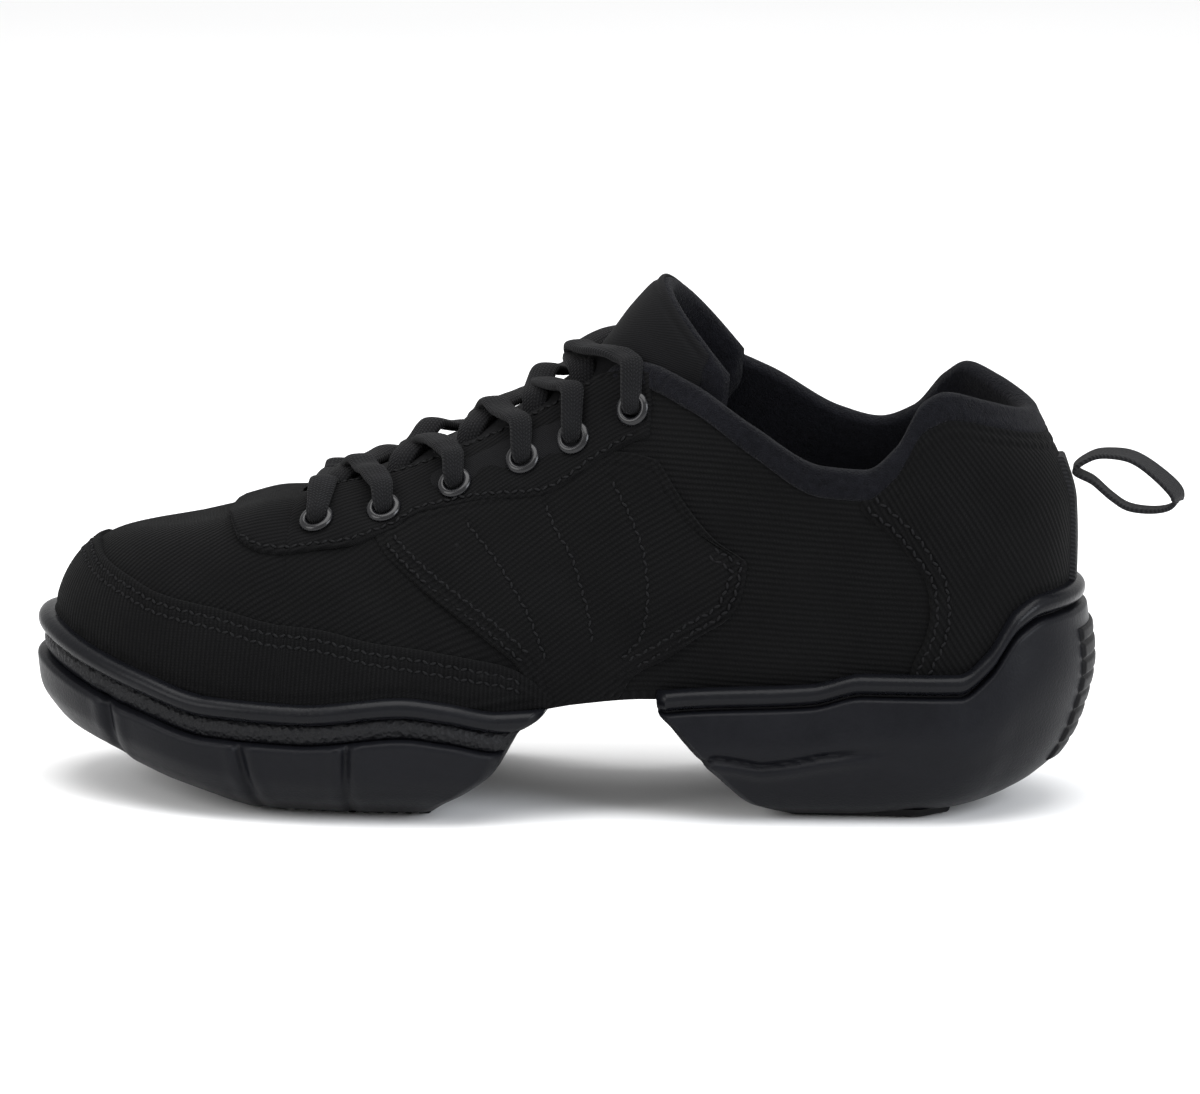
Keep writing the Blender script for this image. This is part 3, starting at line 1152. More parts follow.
CORNER = 0.008  # how far from the arch face, in s, a side line starts
def loft(name, rows, front, last, count, material, slot, extra=0.0, across=30, bulge=3.0, relief=None,
         shape=None, **more):
    """Closed loops joined by walls, with a lid below and above.

    A loop is the line across the arch face, one side, the line across the last station, the other side.
    """
    way = 1 if front else -1
    even = stations(count, 0.45, 1.0) if front else stations(count, 0.0, 0.45)[::-1]
    even = (even - even[0]) / (even[-1] - even[0])
    t = np.linspace(-1, 1, across)
    half_way = (t[:, None] + 1) / 2
    loops = []
    for row in rows:
        starts = [meets_arch(row, front, side, extra) + way * CORNER for side in (-1, 1)]
        outer, inner = (row_points(row, start + (last - start) * even, np.full(count, float(side)), extra)
                        for start, side in zip(starts, (-1, 1)))
        line = mix(outer[0], inner[0], half_way)
        line[:, 0] += way * bulge * (1 - np.abs(t) ** 7) ** (1 / 3.0)
        end = mix(outer[-1], inner[-1], half_way)
        loops.append(np.concatenate([line, inner[1:], end[::-1][1:-1], outer[::-1]]))
    loops = np.stack(loops)
    if shape is not None:
        loops = shape(loops)
    closed = np.concatenate([loops, loops[:, :1]], 1)
    quads, points = [faces_of(*closed.shape[:2])], [closed.reshape(-1, 3)]
    for level in (0, len(loops) - 1):
        ring = loops[level]
        outer, inner = ring[-count:][::-1], ring[across - 1:across + count - 1]
        lid = np.concatenate([ring[None, :across], mix(outer[:, None], inner[:, None], half_way[None])])
        if level and relief is not None:
            lid[2:, 1:-1] = relief(lid[2:, 1:-1])
        lid_quads = faces_of(lid.shape[0], across, sum(len(p) for p in points))
        quads.append(lid_quads if level else lid_quads[:, ::-1])
        points.append(lid.reshape(-1, 3))
    return piece(name, np.concatenate(points), np.concatenate(quads), material, slot, **more)


# %% Details moulded into the blocks
NOTCHES = [((0.935, 29.0), (0.92, 6.0)), ((0.8, 26.0), (0.775, -1.0)), ((0.685, 27.0), (0.69, -1.0))]


def front_details(loops):
    """Upright notches as soft-edged slots in the side, with a swollen lip on each side of them."""
    moved = loops.copy()
    middle = loops.mean(axis=1, keepdims=True)
    inward = unit((middle - loops) * [0.25, 1, 0])
    x, z = loops[..., 0], loops[..., 2]
    low_enough = soft((bead_top((HEEL_BACK - x) / UPPER_LENGTH) - 9.6 - z) / 1.0)
    side_only = soft((np.abs(loops[..., 1] - 1) - 18) / 6)
    for (top_s, top_z), (foot_s, foot_z) in NOTCHES:
        line = mix(x_of(foot_s), x_of(top_s), (z - foot_z) / (top_z - foot_z)) + 1.3
        off = np.abs(x - line)
        slot_depth = 1.5 * bell(off, 1.15) - 0.35 * bell(off - 3.2, 1.5)
        moved += inward * (slot_depth * low_enough * side_only)[..., None]
    return moved


CREASE = np.array([(28, 15.4), (32, 16.6), (36, 16.2), (43, 14.9), (50, 15.8), (58, 17.6),
(73, 19.4), (84, 20.4)]).T


def heel_details(loops):
    """The shallow crease along the heel block's side: a step that fades to the back."""
    moved = loops.copy()
    x, y, z = loops[..., 0], loops[..., 1], loops[..., 2]
    crest = np.interp(x, CREASE[0], CREASE[1])
    share = soft((80 - x) / 22) * soft((x - 26) / 3) * soft((np.abs(y) - 12) / 5)
    step = 0.9 * bell(z - crest + 1.9, 1.5) - 1.2 * bell(z - crest - 0.4, 1.0)
    moved[..., 1] += np.sign(y) * step * share
    return moved


front_rows = block_rows(True)
loft("forefoot_block", front_rows, True, 1.0, 280, sole_rubber, "sole_rubber", shape=front_details,
     replaces=("forefoot_sole",))
loft("heel_block", block_rows(False), False, 0.0, 220, sole_rubber, "sole_rubber", shape=heel_details,
     replaces=("heel_sole",))


def finish_by_height(name, bands):
    """Gives the faces between two depths under the bead's top their own material."""
    mesh = made[name].data
    middles = np.empty(len(mesh.polygons) * 3, np.float32)
    mesh.polygons.foreach_get("center", middles)
    middles = middles.reshape(-1, 3) / MM
    depth = bead_top((HEEL_BACK - middles[:, 0]) / UPPER_LENGTH) - middles[:, 2]
    which = np.zeros(len(depth), np.int32)
    for low, high, material in bands:
        mesh.materials.append(material)
        which[(depth > low) & (depth < high)] = len(mesh.materials) - 1
    mesh.polygons.foreach_set("material_index", which)
    mesh.update()


BEAD_BAND = (-0.5, 5.05, bead_rubber)
finish_by_height("forefoot_block", [BEAD_BAND, (5.05, 9.4, gutter)])
finish_by_height("heel_block", [BEAD_BAND])

# %% [markdown]
# ## What touches the floor
# Under each block lies a thinner, duller layer with grooves across it, and a smooth round spot under
# the ball to turn on. It is lofted from the lowest loops of the same block, so it can't drift off it.
# Round studs climb from the tread towards the arch, and a ribbed insert is let into the back of the
# heel.

# %% Treads
SPOT, SPOT_RADIUS = np.array([-62.0, 0.0]), 13
TREAD_GROOVE, GROOVE_DEPTH, SOFT_EDGE = 2.4, 1.2, 0.7


def tread_relief(starts):
    """Each groove lifts the underside between two soft edges, except inside the smooth spot."""
    def relief(lid):
        moved = lid.copy()
        x, y = lid[..., 0], lid[..., 1]
        smooth = soft((np.hypot(x - SPOT[0], y - SPOT[1]) - SPOT_RADIUS) / 0.8)
        for start in starts:
            inside = soft((x - start) / SOFT_EDGE + 0.5) * soft((start + TREAD_GROOVE - x) / SOFT_EDGE + 0.5)
            moved[..., 2] += GROOVE_DEPTH * inside * smooth
        return moved
    return relief


def tread_layer(front, name, last, count, starts, replaced):
    """The lowest loops of a block again, a little proud, down to its own underside."""
    out = block_rows(front)[-1][0]
    bottom = FRONT_BOTTOM if front else HEEL_BOTTOM
    made_rows = []

    def tucked(s):
        """The ledge's reach, drawn in at the heel's step, where the block above already rounds off."""
        return out(s) - (0 if front else 5.2 * soft((0.14 - s) / 0.05))
    for lift, share in ((2.9, 0.935), (2.7, 0.94), (1.6, 0.955), (0.7, 0.972), (0.25, 0.986), (0.0, 1.0)):
        made_rows.append((tucked, lambda s, p, lift=lift: at(bottom, "height", p) * HEEL_SEAT + lift,
                          wall_inward(front, share)))
    return loft(name, made_rows, front, last, count, tread_rubber, "tread_rubber", extra=0.45, across=40,
                bulge=2.0, relief=tread_relief(starts), replaces=replaced)


tread_layer(True, "forefoot_tread_layer", 0.93, 220, np.arange(-100, -52, 8.0), ("forefoot_tread",))
tread_layer(False, "heel_tread_layer", 0.0915, 160, np.arange(63, 90, 7.0), ("heel_tread",))


# %% Studs and the ribbed insert
SUNK = -0.6  # where a stud's foot lies, under the rubber


def spokes(up, turn, reference):
    """Level directions all round an axis, one row for each angle."""
    first = unit(np.cross(up, reference))
    second = np.cross(up, first)
    return np.cos(turn)[:, None] * first[..., None, :] + np.sin(turn)[:, None] * second[..., None, :]


def domes(name, centres, ups, radius, height, material, slot, **more):
    """Low round studs: r(t) = radius cos(t)^0.6 and h(t) = height sin(t), with a foot sunk in the rubber."""
    t = np.linspace(0, np.pi / 2, 5)
    dome = np.stack([radius * np.cos(t) ** 0.6, height * np.sin(t)], -1)
    ring = np.concatenate([[[0.0, SUNK], [radius, SUNK]], dome])
    ring[-1, 0] = 0
    ups = unit(np.asarray(ups, float))
    around = spokes(ups, np.linspace(0, 2 * np.pi, 13), [0.0, 1.0, 0.01])
    grid = centres[:, None, None] + around[:, :, None] * ring[:, :1] + ups[:, None, None] * ring[:, 1:]
    rows, columns = grid.shape[1:3]
    quads = np.concatenate([faces_of(rows, columns, k * rows * columns) for k in range(len(ups))])
    return piece(name, grid.reshape(-1, 3), quads, material, slot, **more)


STUD_RADIUS, STUD_HEIGHT, STUD_FLOOR = 1.35, 1.1, 1.2
stud_spots, stud_ups = [], []
for k, x in enumerate(np.arange(-48.5, -24, 3.4)):
    s = (HEEL_BACK - x) / UPPER_LENGTH
    face_z = max(np.interp(s, FRONT_REAR["s"][::-1], FRONT_REAR["height"][::-1]) * HEEL_SEAT, 0.0)
    half_here = 31 - 0.002 * (x + 50) ** 2
    for y in np.arange(-26 + 3.2 * (k % 2), 30, 6.4):
        if abs(y) < half_here:
            stud_spots.append((x, y, face_z + (1.0 if face_z < 1 else 0.2)))
            stud_ups.append((0.75 if face_z > 1 else 0.0, 0, -1))
low_row = front_rows[-4]
for side in (-1, 1):
    for x in np.arange(-60, -20, 3.3):
        s = meets_arch(low_row, True, side) + 0.004 + max(0, -26 - x) / UPPER_LENGTH
        edge_spot = row_points(low_row, np.array(s), np.array(float(side)))
        edge_spot[2] = max(edge_spot[2], STUD_FLOOR)
        stud_spots.append(edge_spot - [0.0, 0.6 * side, 0.05])
        stud_ups.append((0.1, 0.45 * side, -1))
domes("forefoot_studs", np.array(stud_spots), stud_ups, STUD_RADIUS, STUD_HEIGHT, tread_rubber,
      "tread_rubber")

INSERT_HALF, INSERT_LOW, INSERT_HIGH, INSERT_RIB = 13.0, 13.0, 46.0, 4.2
RIB_HEIGHT, RIB_GROOVE, LAST_RIB = 0.75, 0.55, 7.3
heel_line = np.linspace(0, 0.09, 500)
wall_top = bead_top(np.array(0.0)) - BEAD_HEIGHT - 0.6 - ROLL
wall_foot = HEEL_BOTTOM["height"][0] * HEEL_SEAT


def heel_wall(y, z):
    """The heel block's wall at widths and heights, from a fine row of stations."""
    line, away, middle = edge_ways(heel_line, np.ones(500))
    ledge = line + away * (at(LEDGE, "out", heel_line) * BALL_HALF)[:, None]
    out_points = []
    for height in z:
        p = ledge + middle * wall_inward(False, np.clip((wall_top - height) / (wall_top - wall_foot), 0, 1))
        out_points.append(np.stack([np.interp(np.abs(y), p[:, 1], p[:, 0]), y, np.full(len(y), height)], -1))
    return np.array(out_points).transpose(1, 0, 2)


z = np.linspace(INSERT_LOW, INSERT_HIGH, 130)
wall = heel_wall(np.linspace(-INSERT_HALF, INSERT_HALF, 50), z)
ways = unit(np.cross(np.gradient(wall, axis=0), np.gradient(wall, axis=1)))
ways *= np.sign(ways[..., :1])
phase = (z - INSERT_LOW) / INSERT_RIB
grooved = (phase > 0.5) & (phase < LAST_RIB)
ribs = 1 - bell((phase - np.round(phase)) * INSERT_RIB, RIB_GROOVE) * grooved
rounded = quarter_round(rim_distance(wall), 1.2)
two_faced("heel_ribbed_insert", wall + ways * ((RIB_HEIGHT * ribs[None] + 0.1) * rounded)[..., None],
          wall - ways * (1.5 * rounded)[..., None], insert_rubber, "insert_rubber", replaces=("heel_insert",))

# %% [markdown]
# ## Inside the shoe, and the bare arch
# The insole is a fleecy sheet that dishes a little under heel and ball. Between the two blocks the
# upper is closed by a board covered in the same canvas: it is what shows from below.

# %% Insole and arch board
def filled_sheet(name, s, out, low, high, material, slot, cords=0.0, top=None, **more):
    """A closed form between two lifts of the feather line's plan: a lid above, one below, and its outline."""
    t = spaced(40, 0.7)[None, :, None]
    left, right = skin(s, -1, 0.03, out), skin(s, 1, 0.03, out)
    sheets = []
    for lift in (low, high):
        sheet = mix(left[:, None], right[:, None], t)
        sheet[..., 2] = feather(s)[:, None] + lift
        sheets.append(sheet)
    if top is not None:
        sheets[1][..., 2] += top(s[:, None], t[..., 0]) * (np.abs(t[..., 0] - 0.5) < 0.499)
    rows, columns = sheets[0].shape[:2]
    ring = [np.concatenate([g[:, 0], g[-1, 1:-1], g[::-1, -1], g[0, ::-1][1:-1]]) for g in sheets]
    walls = np.stack([np.concatenate([r, r[:1]]) for r in ring])
    points = np.concatenate([sheets[0].reshape(-1, 3), sheets[1].reshape(-1, 3), walls.reshape(-1, 3)])
    quads = np.concatenate([faces_of(rows, columns), faces_of(rows, columns, rows * columns)[:, ::-1],
                            faces_of(2, walls.shape[1], 2 * rows * columns)])
    a = math.radians(cords)
    place = np.stack([points[:, 0] * math.cos(a) + points[:, 1] * math.sin(a),
                      points[:, 1] * math.cos(a) - points[:, 0] * math.sin(a)], -1)
    return piece(name, points, quads, material, slot, weave=place, **more)


def dish(s, t):
    """Lower under the heel and the ball, and rolled up a little at the rim."""
    rim_up = 1.2 * np.abs(2 * t - 1) ** 6
    return rim_up - 0.7 * bell(s - 0.13, 0.07) - 0.6 * bell(s - 0.7, 0.08)


filled_sheet("insole_fleece", stations(120, 0.0, 1.0)[1:-1], -3.2, 2.9, 6.0, lining, "lining", top=dish,
             replaces=("insole",))
filled_sheet("arch_board", np.linspace(0.34, 0.56, 60), 0.1, -0.5, 1.6, cloth, "cloth", cords=40)

# %% [markdown]
# ## Collar and lining
# The collar is rolled: fleece starts a few millimetres down outside, turns over a pad and lines the
# heel. It is a tube of fixed section carried along the top edge; its section shrinks to nothing at both
# front corners, which closes it. A pad like this is plump between its seams, so the outer half swells a
# little.

# %% Collar
ring_s, ring_side = both_sides(stations(190, 0.0, 0.452)[::-1])
full = whole_climb(ring_s, ring_side)
edge_at = surface(ring_s, ring_side, 1.0)
edge_out = outward(ring_s, ring_side, 0.995)
edge_up = unit(edge_at - surface(ring_s, ring_side, 0.97))
ROLL_WIDTH, ROLL_HEIGHT, FLEECE = 2.65, 2.1, 0.35
CORE_DEPTH = -1.3  # the middle of the wall, where the tube's hidden part runs
middle = edge_at - edge_out * 1.55 + edge_up * 0.1
section = [skin(ring_s, ring_side, 1 - down / full, plump) for down, plump in (
    (COLLAR_BAND, -0.3), (COLLAR_BAND - 0.5, 0.75), (COLLAR_BAND - 1.4, 1.05), (COLLAR_BAND - 2.6, 1.05),
    (1.6, 1.05))]
for angle in np.radians(np.linspace(8, 172, 13)):
    section.append(middle + edge_out * ROLL_WIDTH * math.cos(angle) + edge_up * ROLL_HEIGHT * math.sin(angle))
for v_here in np.linspace(0.955, 0.06, 30):
    section.append(skin(ring_s, ring_side, v_here, -lining_depth(0.0, v_here) - FLEECE))
for v_here in np.linspace(0.06, 0.9, 8):
    section.append(skin(ring_s, ring_side, v_here, CORE_DEPTH))
tube = np.stack(section, 1)
core = skin(ring_s, ring_side, np.minimum(0.93, 1 - 3.0 / full), CORE_DEPTH)[:, None]
closed_grid(core + (tube - core) * tapered(len(tube), 7.0), "collar_fleece", lining, "lining")

# %% [markdown]
# ## Tongue
# The tongue is a foam pad in fleece with a plain cloth face sewn on, curled round the instep. A cloth
# simulation would puff it, but it is thin and held flat by the laces, so its swell is written down: the
# thickness is a quarter round at its rim, and a shallow roll follows each long edge.

# %% Tongue and its face
TONGUE = table("row s height half back drop", [
    (0, 0.8, 0.43, 0.24, 0.0, 0.02), (1, 0.765, 0.458, 0.32, 0.0, 0.035), (2, 0.724, 0.532, 0.43, 0.0, 0.09),
    (3, 0.644, 0.633, 0.48, 0.0, 0.15), (4, 0.573, 0.735, 0.5, 0.004, 0.185),
    (5, 0.51, 0.845, 0.51, 0.025, 0.22),
    (6, 0.47, 0.935, 0.49, 0.062, 0.25), (7, 0.443, 1.035, 0.455, 0.088, 0.27),
    (8, 0.42, 1.135, 0.45, 0.088, 0.28),
    (9, 0.4, 1.205, 0.46, 0.075, 0.265), (10, 0.388, 1.235, 0.46, 0.064, 0.25)])


def tongue_middle(row, b):
    """The pad's middle sheet: rows up the tongue, b from -1 to 1 across it; both edges lie back and down."""
    s, half = at(TONGUE, "s", row), at(TONGUE, "half", row)
    bent = np.abs(b) ** 2.1
    y = half * BALL_HALF * np.sin(b * np.pi / 2) + at(RIDGE, "axis", s) * BALL_HALF * 0.5
    x = x_of(s) + at(TONGUE, "back", row) * UPPER_LENGTH * bent
    return np.stack([x, y, top_height(at(TONGUE, "height", row) - at(TONGUE, "drop", row) * bent)], -1)


def tongue_point(row, b, out):
    """The middle sheet moved out along its normal."""
    row, b = np.broadcast_arrays(row, b)
    e = 0.02
    along = tongue_middle(np.clip(row + e, 0, 10), b) - tongue_middle(np.clip(row - e, 0, 10), b)
    across_way = tongue_middle(row, np.clip(b + e, -1, 1)) - tongue_middle(row, np.clip(b - e, -1, 1))
    return tongue_middle(row, b) + unit(np.cross(along, across_way)) * out[..., None]


def tongue_slab(name, row, b, heights, material, slot, cords=None, **extra):
    """A slab on the tongue, whose face and back heights makes from the distance to the rim."""
    row, b = row[:, None], b[None]
    sheet = tongue_middle(row, b)
    face, back = (tongue_point(row, b, out) for out in heights(rim_distance(sheet)))
    weave = None if cords is None else np.stack([arc_lengths(sheet, axis) for axis in cords], -1)
    return two_faced(name, face, back, material, slot, weave, **extra)


def pad_heights(near):
    """A quarter round at the rim, a roll along the edge and a shallow valley inside it."""
    plump = PAD_HALF * quarter_round(near, 2.6) + 0.3 * bell(near - 4.5, 2.2) - 0.2 * bell(near - 8.0, 1.2)
    return plump, -plump


def face_heights(near):
    """The cloth face lies on the pad and is drawn down along its seam."""
    rounded = quarter_round(near, 1.0)
    return FACE_LOW + 0.55 * rounded - 0.3 * bell(near - 2.2, 0.7), FACE_LOW - 0.5 * rounded


def keeper_heights(near):
    """The keeper is a short tape that lies on the face."""
    rounded = quarter_round(near, 0.6)
    return KEEPER_LOW + 0.9 * rounded, KEEPER_LOW - 0.4 * rounded


PAD_HALF, FACE_LOW, KEEPER_LOW = 2.2, 2.25, 2.7
tongue_slab("tongue_pad", mix(0.0, 10.0, spaced(120, 0.6)), np.linspace(-1, 1, 60), pad_heights, lining,
            "lining", replaces=("tongue",))
tongue_slab("tongue_face", mix(0.3, 9.86, spaced(120, 0.6)), mix(-0.86, 0.86, spaced(56, 0.4)), face_heights,
            tongue_cloth, "tongue_cloth", cords=(0, 1))
tongue_slab("keeper_tape", mix(3.42, 4.0, spaced(24)), mix(-0.28, 0.27, spaced(40)), keeper_heights, tape,
            "webbing", cords=(1, 0), replaces=("tongue_keeper",))

# %% [markdown]
# ## Rings, laces and loop
# Twelve enamelled rings hold the lace. The lace is flat knitted cord: at every crossing it comes out
# from under the throat's edge, lies on the tongue, crosses its partner, goes over the other edge and
# dives into the next ring. Both halves are one sweep each: a flat oval section carried along a smooth
# path, narrow where the ring gathers it. Rays cast down on the finished cloth give the height that it
# lies at.

# %% Rings
ring_profile = np.array([(2.35, -1.4), (2.32, 1.3), (2.45, 1.72), (2.8, 1.98), (3.3, 2.05),
(3.8, 1.9), (4.25, 1.55),
                         (4.42, 1.2), (4.3, 1.0), (2.95, 0.9), (2.9, -1.4)])
turn = np.linspace(0, 2 * np.pi, 49)[:-1]
for side, side_name in ((-1, "outer"), (1, "inner")):
    for number, (s, v) in enumerate(zip(EYELETS["s"], EYELETS["v"]), 1):
        up = outward(s, side, v)
        around = spokes(up, turn, [0.0, 0.0, 1.0])
        grid = surface(s, side, v) + around[:, None] * ring_profile[:, :1] + up * ring_profile[:, 1:]
        closed_grid(np.concatenate([grid, grid[:1]]), f"ring_{side_name}_{number}", ring_enamel, "enamel",
                    crease=60, replaces=(f"eyelet_{side_name}_{number}",))

# %% What the lace lies on
def tree_of(names):
    """One search tree over some finished pieces, in metres."""
    corners, polygons = [], []
    for name in names:
        mesh = made[name].data
        co = np.empty(len(mesh.vertices) * 3, np.float32)
        mesh.vertices.foreach_get("co", co)
        start = len(corners)
        corners.extend(co.reshape(-1, 3).tolist())
        polygons.extend([[start + v for v in p.vertices] for p in mesh.polygons])
    return BVHTree.FromPolygons(corners, polygons)


under_lace = tree_of(["upper_cloth", "eyestay_cloth", "tongue_pad", "tongue_face", "keeper_tape"])


def ground(x, y):
    """The height in mm of the cloth at a place, on the last's axis."""
    hit = under_lace.ray_cast(Vector((x * MM, (y + SIDE_SHIFT[1]) * MM, 0.2)), Vector((0, 0, -1)))[0]
    return hit.z / MM if hit else 40.0


LACE_WIDTH, LACE_THICK = 6.9, 2.7
GATHERED = 5.4  # its width just above a ring
AHEAD = [0.0, 0.05, 0.15, 0.5, 1.2]  # how far each crossing bows to the toe, in widths of the lace
FEELERS = (-2.6, -1.2, 0, 1.2, 2.6)  # where rays feel for the cloth across the lace


def across_of(way):
    """Level, square to the way, towards the heel."""
    flat = unit(np.array([way[1], -way[0], 0.0]))
    return flat * (1 if flat[0] >= 0 else -1)


def dive(i, side, way):
    """From above a ring down through it: place, width direction, width and thickness."""
    s, v = EYELETS["s"][i], EYELETS["v"][i]
    wide = across_of(way)
    return [(skin(s, side, v + past, out), wide, width, thick) for past, out, width, thick in (
        (0.0, 1.9, 4.6, 2.9), (0.0, 0.2, 3.9, 2.9), (0.01, -2.6, 3.8, 2.6))]


def crossing(i, side, over):
    """Controls from under the throat's edge at ring i to the ring i + 1 of the other side."""
    s, v = EYELETS["s"], EYELETS["v"]
    start = mix(surface(s[i] - 0.006, side, 1.0), surface(s[i] - 0.006, -side, 1.0), 0.1)
    goal = surface(s[i + 1], -side, v[i + 1])
    way = goal - start
    wide = across_of(way)
    controls = [(skin(s[i] - 0.003, side, 0.5 * (v[i] + 1), -3.6), wide, 5.2, 1.8),
                (start + [0, 0, -1.4] - way * 0.02, wide, 6.0, 2.2)]
    heights, places = [], []
    shares = np.linspace(0.06, 0.93, 12)
    for t in shares:
        p = start + way * t
        p[0] -= AHEAD[i] * LACE_WIDTH * math.sin(math.pi * min(1, 1.15 * t))
        heights.append(max(ground(p[0] + wide[0] * w, p[1] + wide[1] * w) for w in FEELERS))
        places.append(p)
    heights = np.array(heights)
    for _ in range(3):
        mean = np.convolve(np.pad(heights, 1, mode="edge"), [0.25, 0.5, 0.25], "valid")
        heights = np.maximum(heights, mean)
    for t, p, height in zip(shares, places, heights):
        rise = LACE_THICK * 0.95 * math.exp(-((t - 0.42) / 0.13) ** 2) if over else 0.0
        p[2] = height + LACE_THICK * 0.46 * soft(t / 0.12) + rise
        controls.append((p, wide, mix(GATHERED, LACE_WIDTH, soft((1.0 - t) / 0.22)), LACE_THICK))
    return controls + dive(i + 1, -side, way)
SWEEP_STEP = 0.75
def sweep(name, controls, replaced=()):
    """A flat oval carried along a smooth path: centre + wide a cos t + thick b sin t, closed at both ends."""
    knots = np.array([(*place, *wide, width, thick) for place, wide, width, thick in controls])
    chord = arc_lengths(knots[:, :3])
    t = np.arange(0, chord[-1], SWEEP_STEP)
    rows = {"chord": chord, **{k: knots[:, k] for k in range(8)}}
    path, side_way, sizes = np.split(np.stack([at(rows, k, t) for k in range(8)], -1), [3, 6], axis=1)
    for _ in range(4):
        path[1:-1] = 0.25 * path[:-2] + 0.5 * path[1:-1] + 0.25 * path[2:]
    along = unit(np.gradient(path, axis=0))
    side_way = unit(side_way - along * (side_way * along).sum(-1, keepdims=True))
    up = np.cross(along, side_way)
    turn = np.linspace(0, 2 * np.pi, 25)[:-1]
    c, s = np.cos(turn), np.sin(turn)
    oval = np.stack([np.sign(c) * np.abs(c) ** 0.8, np.sign(s) * np.abs(s) ** 0.7], -1)
    flat = oval * sizes[:, None] / 2
    across = side_way[:, None] * flat[..., :1] + up[:, None] * flat[..., 1:]
    grid = path[:, None] + tapered(len(t), 2.0) * across
    place = np.stack(np.broadcast_arrays(t[:, None], oval[None, :, 0] * LACE_WIDTH / 2), -1)
    return closed_grid(grid, name, lace_knit, "lace", weave=place, replaces=replaced)


def bar(side):
    """Half of the bar over the front pair of rings, from its middle to a ring."""
    s, v = EYELETS["s"][0], EYELETS["v"][0]
    centre = mix(surface(s, 1, 1.0), surface(s, -1, 1.0), 0.5)
    way = surface(s, side, v) - centre
    controls = []
    for t in np.linspace(0.0, 0.9, 9):
        p = centre + way * t
        p[2] = max(ground(p[0] + w, p[1]) for w in FEELERS[::2]) + LACE_THICK * 0.5
        width = mix(GATHERED, LACE_WIDTH, soft((1 - t) / 0.3))
        controls.append((p, np.array([1.0, 0, 0]), width, LACE_THICK))
    return controls, dive(0, side, way)


for side, name, replaced in ((-1, "first", (1, 3, 5)), (1, "second", (2, 4))):
    half_bar, first_dive = bar(side)
    other_bar, _ = bar(-side)
    controls = (other_bar[1:3][::-1] + half_bar if side < 0 else half_bar[3:]) + first_dive
    where = side
    for i in range(5):
        controls += crossing(i, where, over=(where > 0) == (i % 2 == 0))
        where = -where
    sweep(f"lace_{name}_half", controls, tuple(f"lace_{k}" for k in replaced))

# %% [markdown]
# ## Pull loop
# A herringbone tape is folded into a loop and sewn under the strip on the heel back. It stands out
# stiffly and twists a little at its far end. One flat section is carried round a closed curve.

# %% Loop
LOOP = np.array([(0.0, -0.07), (0.15, 0.05), (0.32, 0.075), (0.54, 0.035), (0.77, -0.12), (0.93, -0.29),
                 (0.88, -0.4), (0.71, -0.44), (0.49, -0.415), (0.33, -0.315), (0.17, -0.175)])
LOOP_LENGTH, LOOP_WIDTH, LOOP_THICK, LOOP_ROUND = 27.0, 9.6, 1.15, 60
LOOP_STEPS = 161
root = np.array([HEEL_BACK + 1.4, 0, top_height(0.69)])
ring = np.concatenate([LOOP] * 3)
fine = np.linspace(len(LOOP), 2 * len(LOOP), LOOP_STEPS)[:-1]
k = np.floor(fine).astype(int)
f = (fine - k)[:, None]
p0, p1, p2, p3 = (ring[k + d] for d in (-1, 0, 1, 2))
line = 0.5 * (2 * p1 + (p2 - p0) * f + (2 * p0 - 5 * p1 + 4 * p2 - p3) * f ** 2
              + (3 * p1 - p0 - 3 * p2 + p3) * f ** 3)
centre = root + np.stack([line[:, 0], 0 * line[:, 0], line[:, 1]], -1) * LOOP_LENGTH
away = np.clip(line[:, 0], 0, 1)
centre[:, 1] += 0.8 * np.sin(away * 3)
along = unit(np.roll(centre, -1, axis=0) - np.roll(centre, 1, axis=0))
twist = np.radians(16) * away ** 1.5 * np.where(fine < 1.5 * len(LOOP), 1, 0.4)
level = np.array([0.0, 1.0, 0.0])
wide = unit(level * np.cos(twist)[:, None] + np.cross(along, level) * np.sin(twist)[:, None])
up = np.cross(along, wide)
half, thin = LOOP_WIDTH / 2, LOOP_THICK / 2
upper_half = np.array([(-half, 0.6 * thin), (-half + 0.5, thin), (-half + 1.2, 0.92 * thin), (0, 0.92 * thin),
                       (half - 1.2, 0.92 * thin), (half - 0.5, thin), (half, 0.6 * thin)])
section = np.concatenate([upper_half, upper_half[::-1] * [1, -1]])
grid = centre[:, None] + wide[:, None] * section[None, :, :1] + up[:, None] * section[None, :, 1:]
gone = np.linspace(0, LOOP_ROUND, LOOP_STEPS)[:, None]
closed_grid(np.concatenate([grid, grid[:1]]), "pull_loop_tape", tape, "webbing", replaces=("pull_loop",),
            weave=np.stack(np.broadcast_arrays(gone, section[None, :, 0] + 5), -1))

# %% [markdown]
# ## Stitches
# Seams hold the look together: double rows on toe wrap, saddle and counter, single rows elsewhere. Each
# stitch is one tiny spindle of thread, a few dozen faces, laid along a line on the skin. Hundreds of
# them are one mesh for each side, made from one array.

# %% Rows of thread
def shifted(points, distance):
    """A line of the side view moved sideways in its plane."""
    points = np.asarray(points, float)
    way = unit(np.gradient(points, axis=0))
    return points + np.stack([way[:, 1], -way[:, 0]], -1) * distance


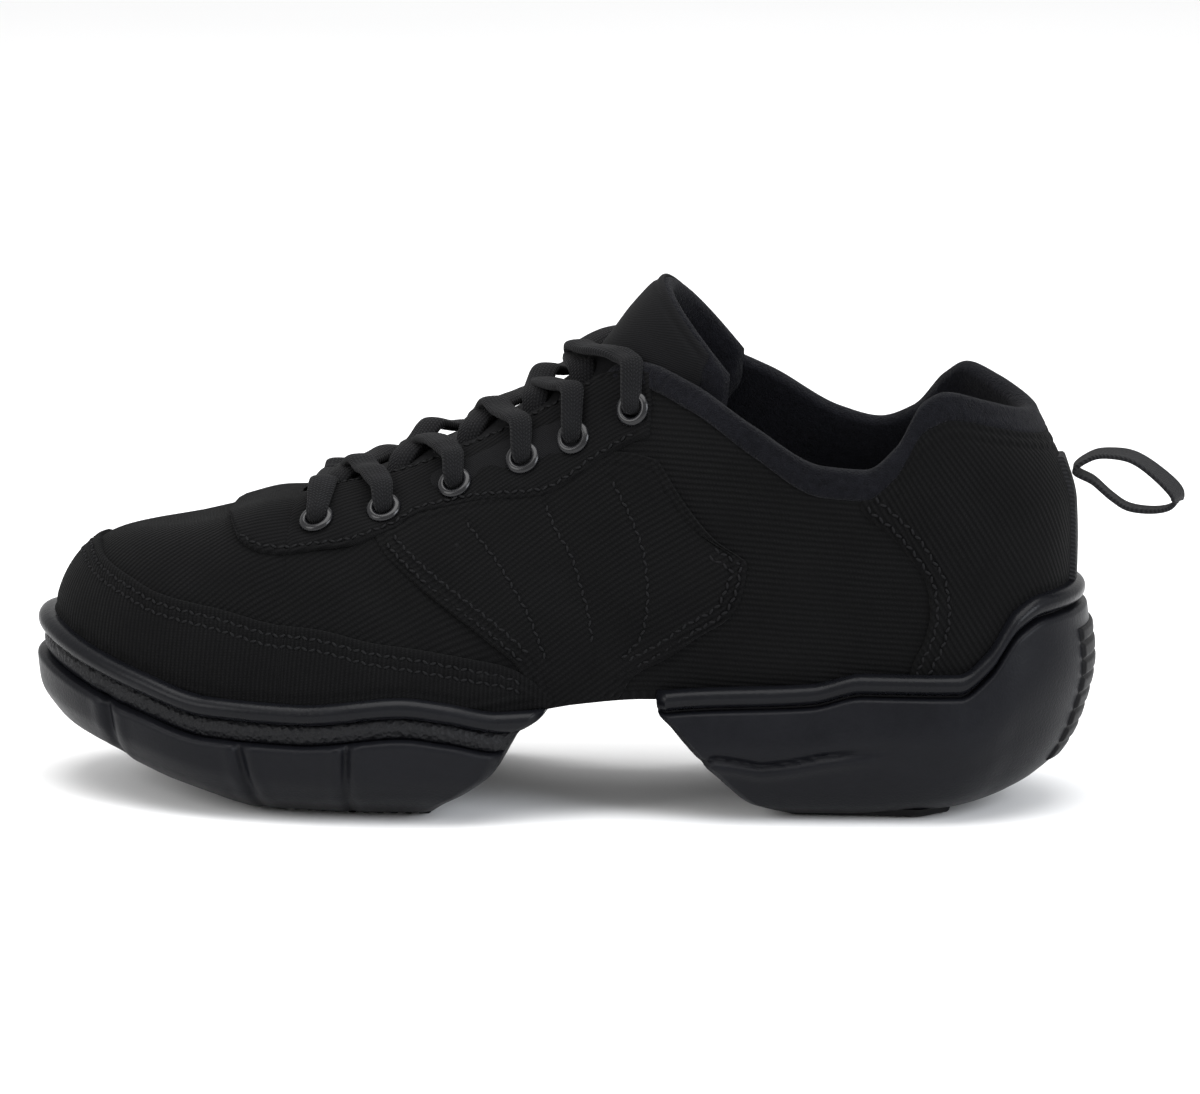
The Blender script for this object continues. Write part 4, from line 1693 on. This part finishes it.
def stitch_row(s, side, v, height, step=1.9, slant=0.45):
    """Centres, ways and ups of the stitches along a line; they lean to and fro as a zigzag seam does."""
    s, side, v = np.broadcast_arrays(s, np.asarray(side, float), v)
    out = outward(s, side, v)
    line = skin(s, side, v, height) + out * folds(surface(s, side, v))[..., None]
    gone = arc_lengths(line)
    marks = np.arange(step, gone[-1] - step * 0.5, step)

    def read(values, where):
        return np.stack([np.interp(where, gone, values[:, k]) for k in range(3)], -1)
    way, up = unit(read(line, marks + 0.6) - read(line, marks - 0.6)), unit(read(out, marks))
    lean = slant * np.where(np.arange(len(marks)) % 2, 1, -1)[:, None]
    return read(line, marks), unit(way + np.cross(up, way) * lean), up


def spindles(name, rows, length=1.7, radius=0.36):
    """All stitches of some rows: r(t) = radius (1 - t^4)^(1/2) along each."""
    centre, way, up = (np.concatenate([row[k] for row in rows]) for k in range(3))
    side_way = unit(np.cross(way, up))
    up = np.cross(side_way, way)
    t = np.array([-1, -0.8, 0, 0.8, 1.0])
    r = radius * np.sqrt(1 - t ** 4)
    turn = np.linspace(0, 2 * np.pi, 8)
    grid = (centre[:, None, None] + way[:, None, None] * (t * length / 2)[None, :, None, None]
            + side_way[:, None, None] * (r[:, None] * np.cos(turn))[None, ..., None]
            + up[:, None, None] * (0.8 * r[:, None] * np.sin(turn))[None, ..., None])
    quads = np.concatenate([faces_of(5, 8, k * 40) for k in range(len(centre))])
    return piece(name, grid.reshape(-1, 3), quads, sewing_thread, "cloth")


SEWN = [  # line in the side view, distances of its rows, height over the skin
    (SADDLE_FRONT[1:-1], (-1.8, -4.2), 0.8), (SADDLE_REAR[1:-1], (1.8, 4.2), 0.8), (L2, (0,), 0.6),
    (L3[:-1], (0,), 0.6), (L4, (0,), 0.6), (COUNTER_FRONT, (-1.8, -4.6), 0.95)]
for side, name in ((-1, "outer"), (1, "inner")):
    rows = []
    for line, distances, height in SEWN:
        for distance in distances:
            seam_s, seam_v = seam(side, shifted(line, distance))
            rows.append(stitch_row(seam_s, side, seam_v, height))
    row_s = stations(400, 0.515, 1.0)
    for distance in (2.6, 5.0):
        row_v = upon("toe", side, row_s) - distance / whole_climb(row_s, side)
        rows.append(stitch_row(row_s, side, row_v, 1.05))
    row_s = stations(300, 0.41, 0.8)
    rows.append(stitch_row(row_s, side, upon("stay", side, row_s) + 1.7 / whole_climb(row_s, side), 1.2))
    row_s = stations(240, 0.455, 0.735)
    rows.append(stitch_row(row_s, side, 1 - 2.0 / whole_climb(row_s, side), 1.2))
    spindles(f"stitches_{name}", rows)
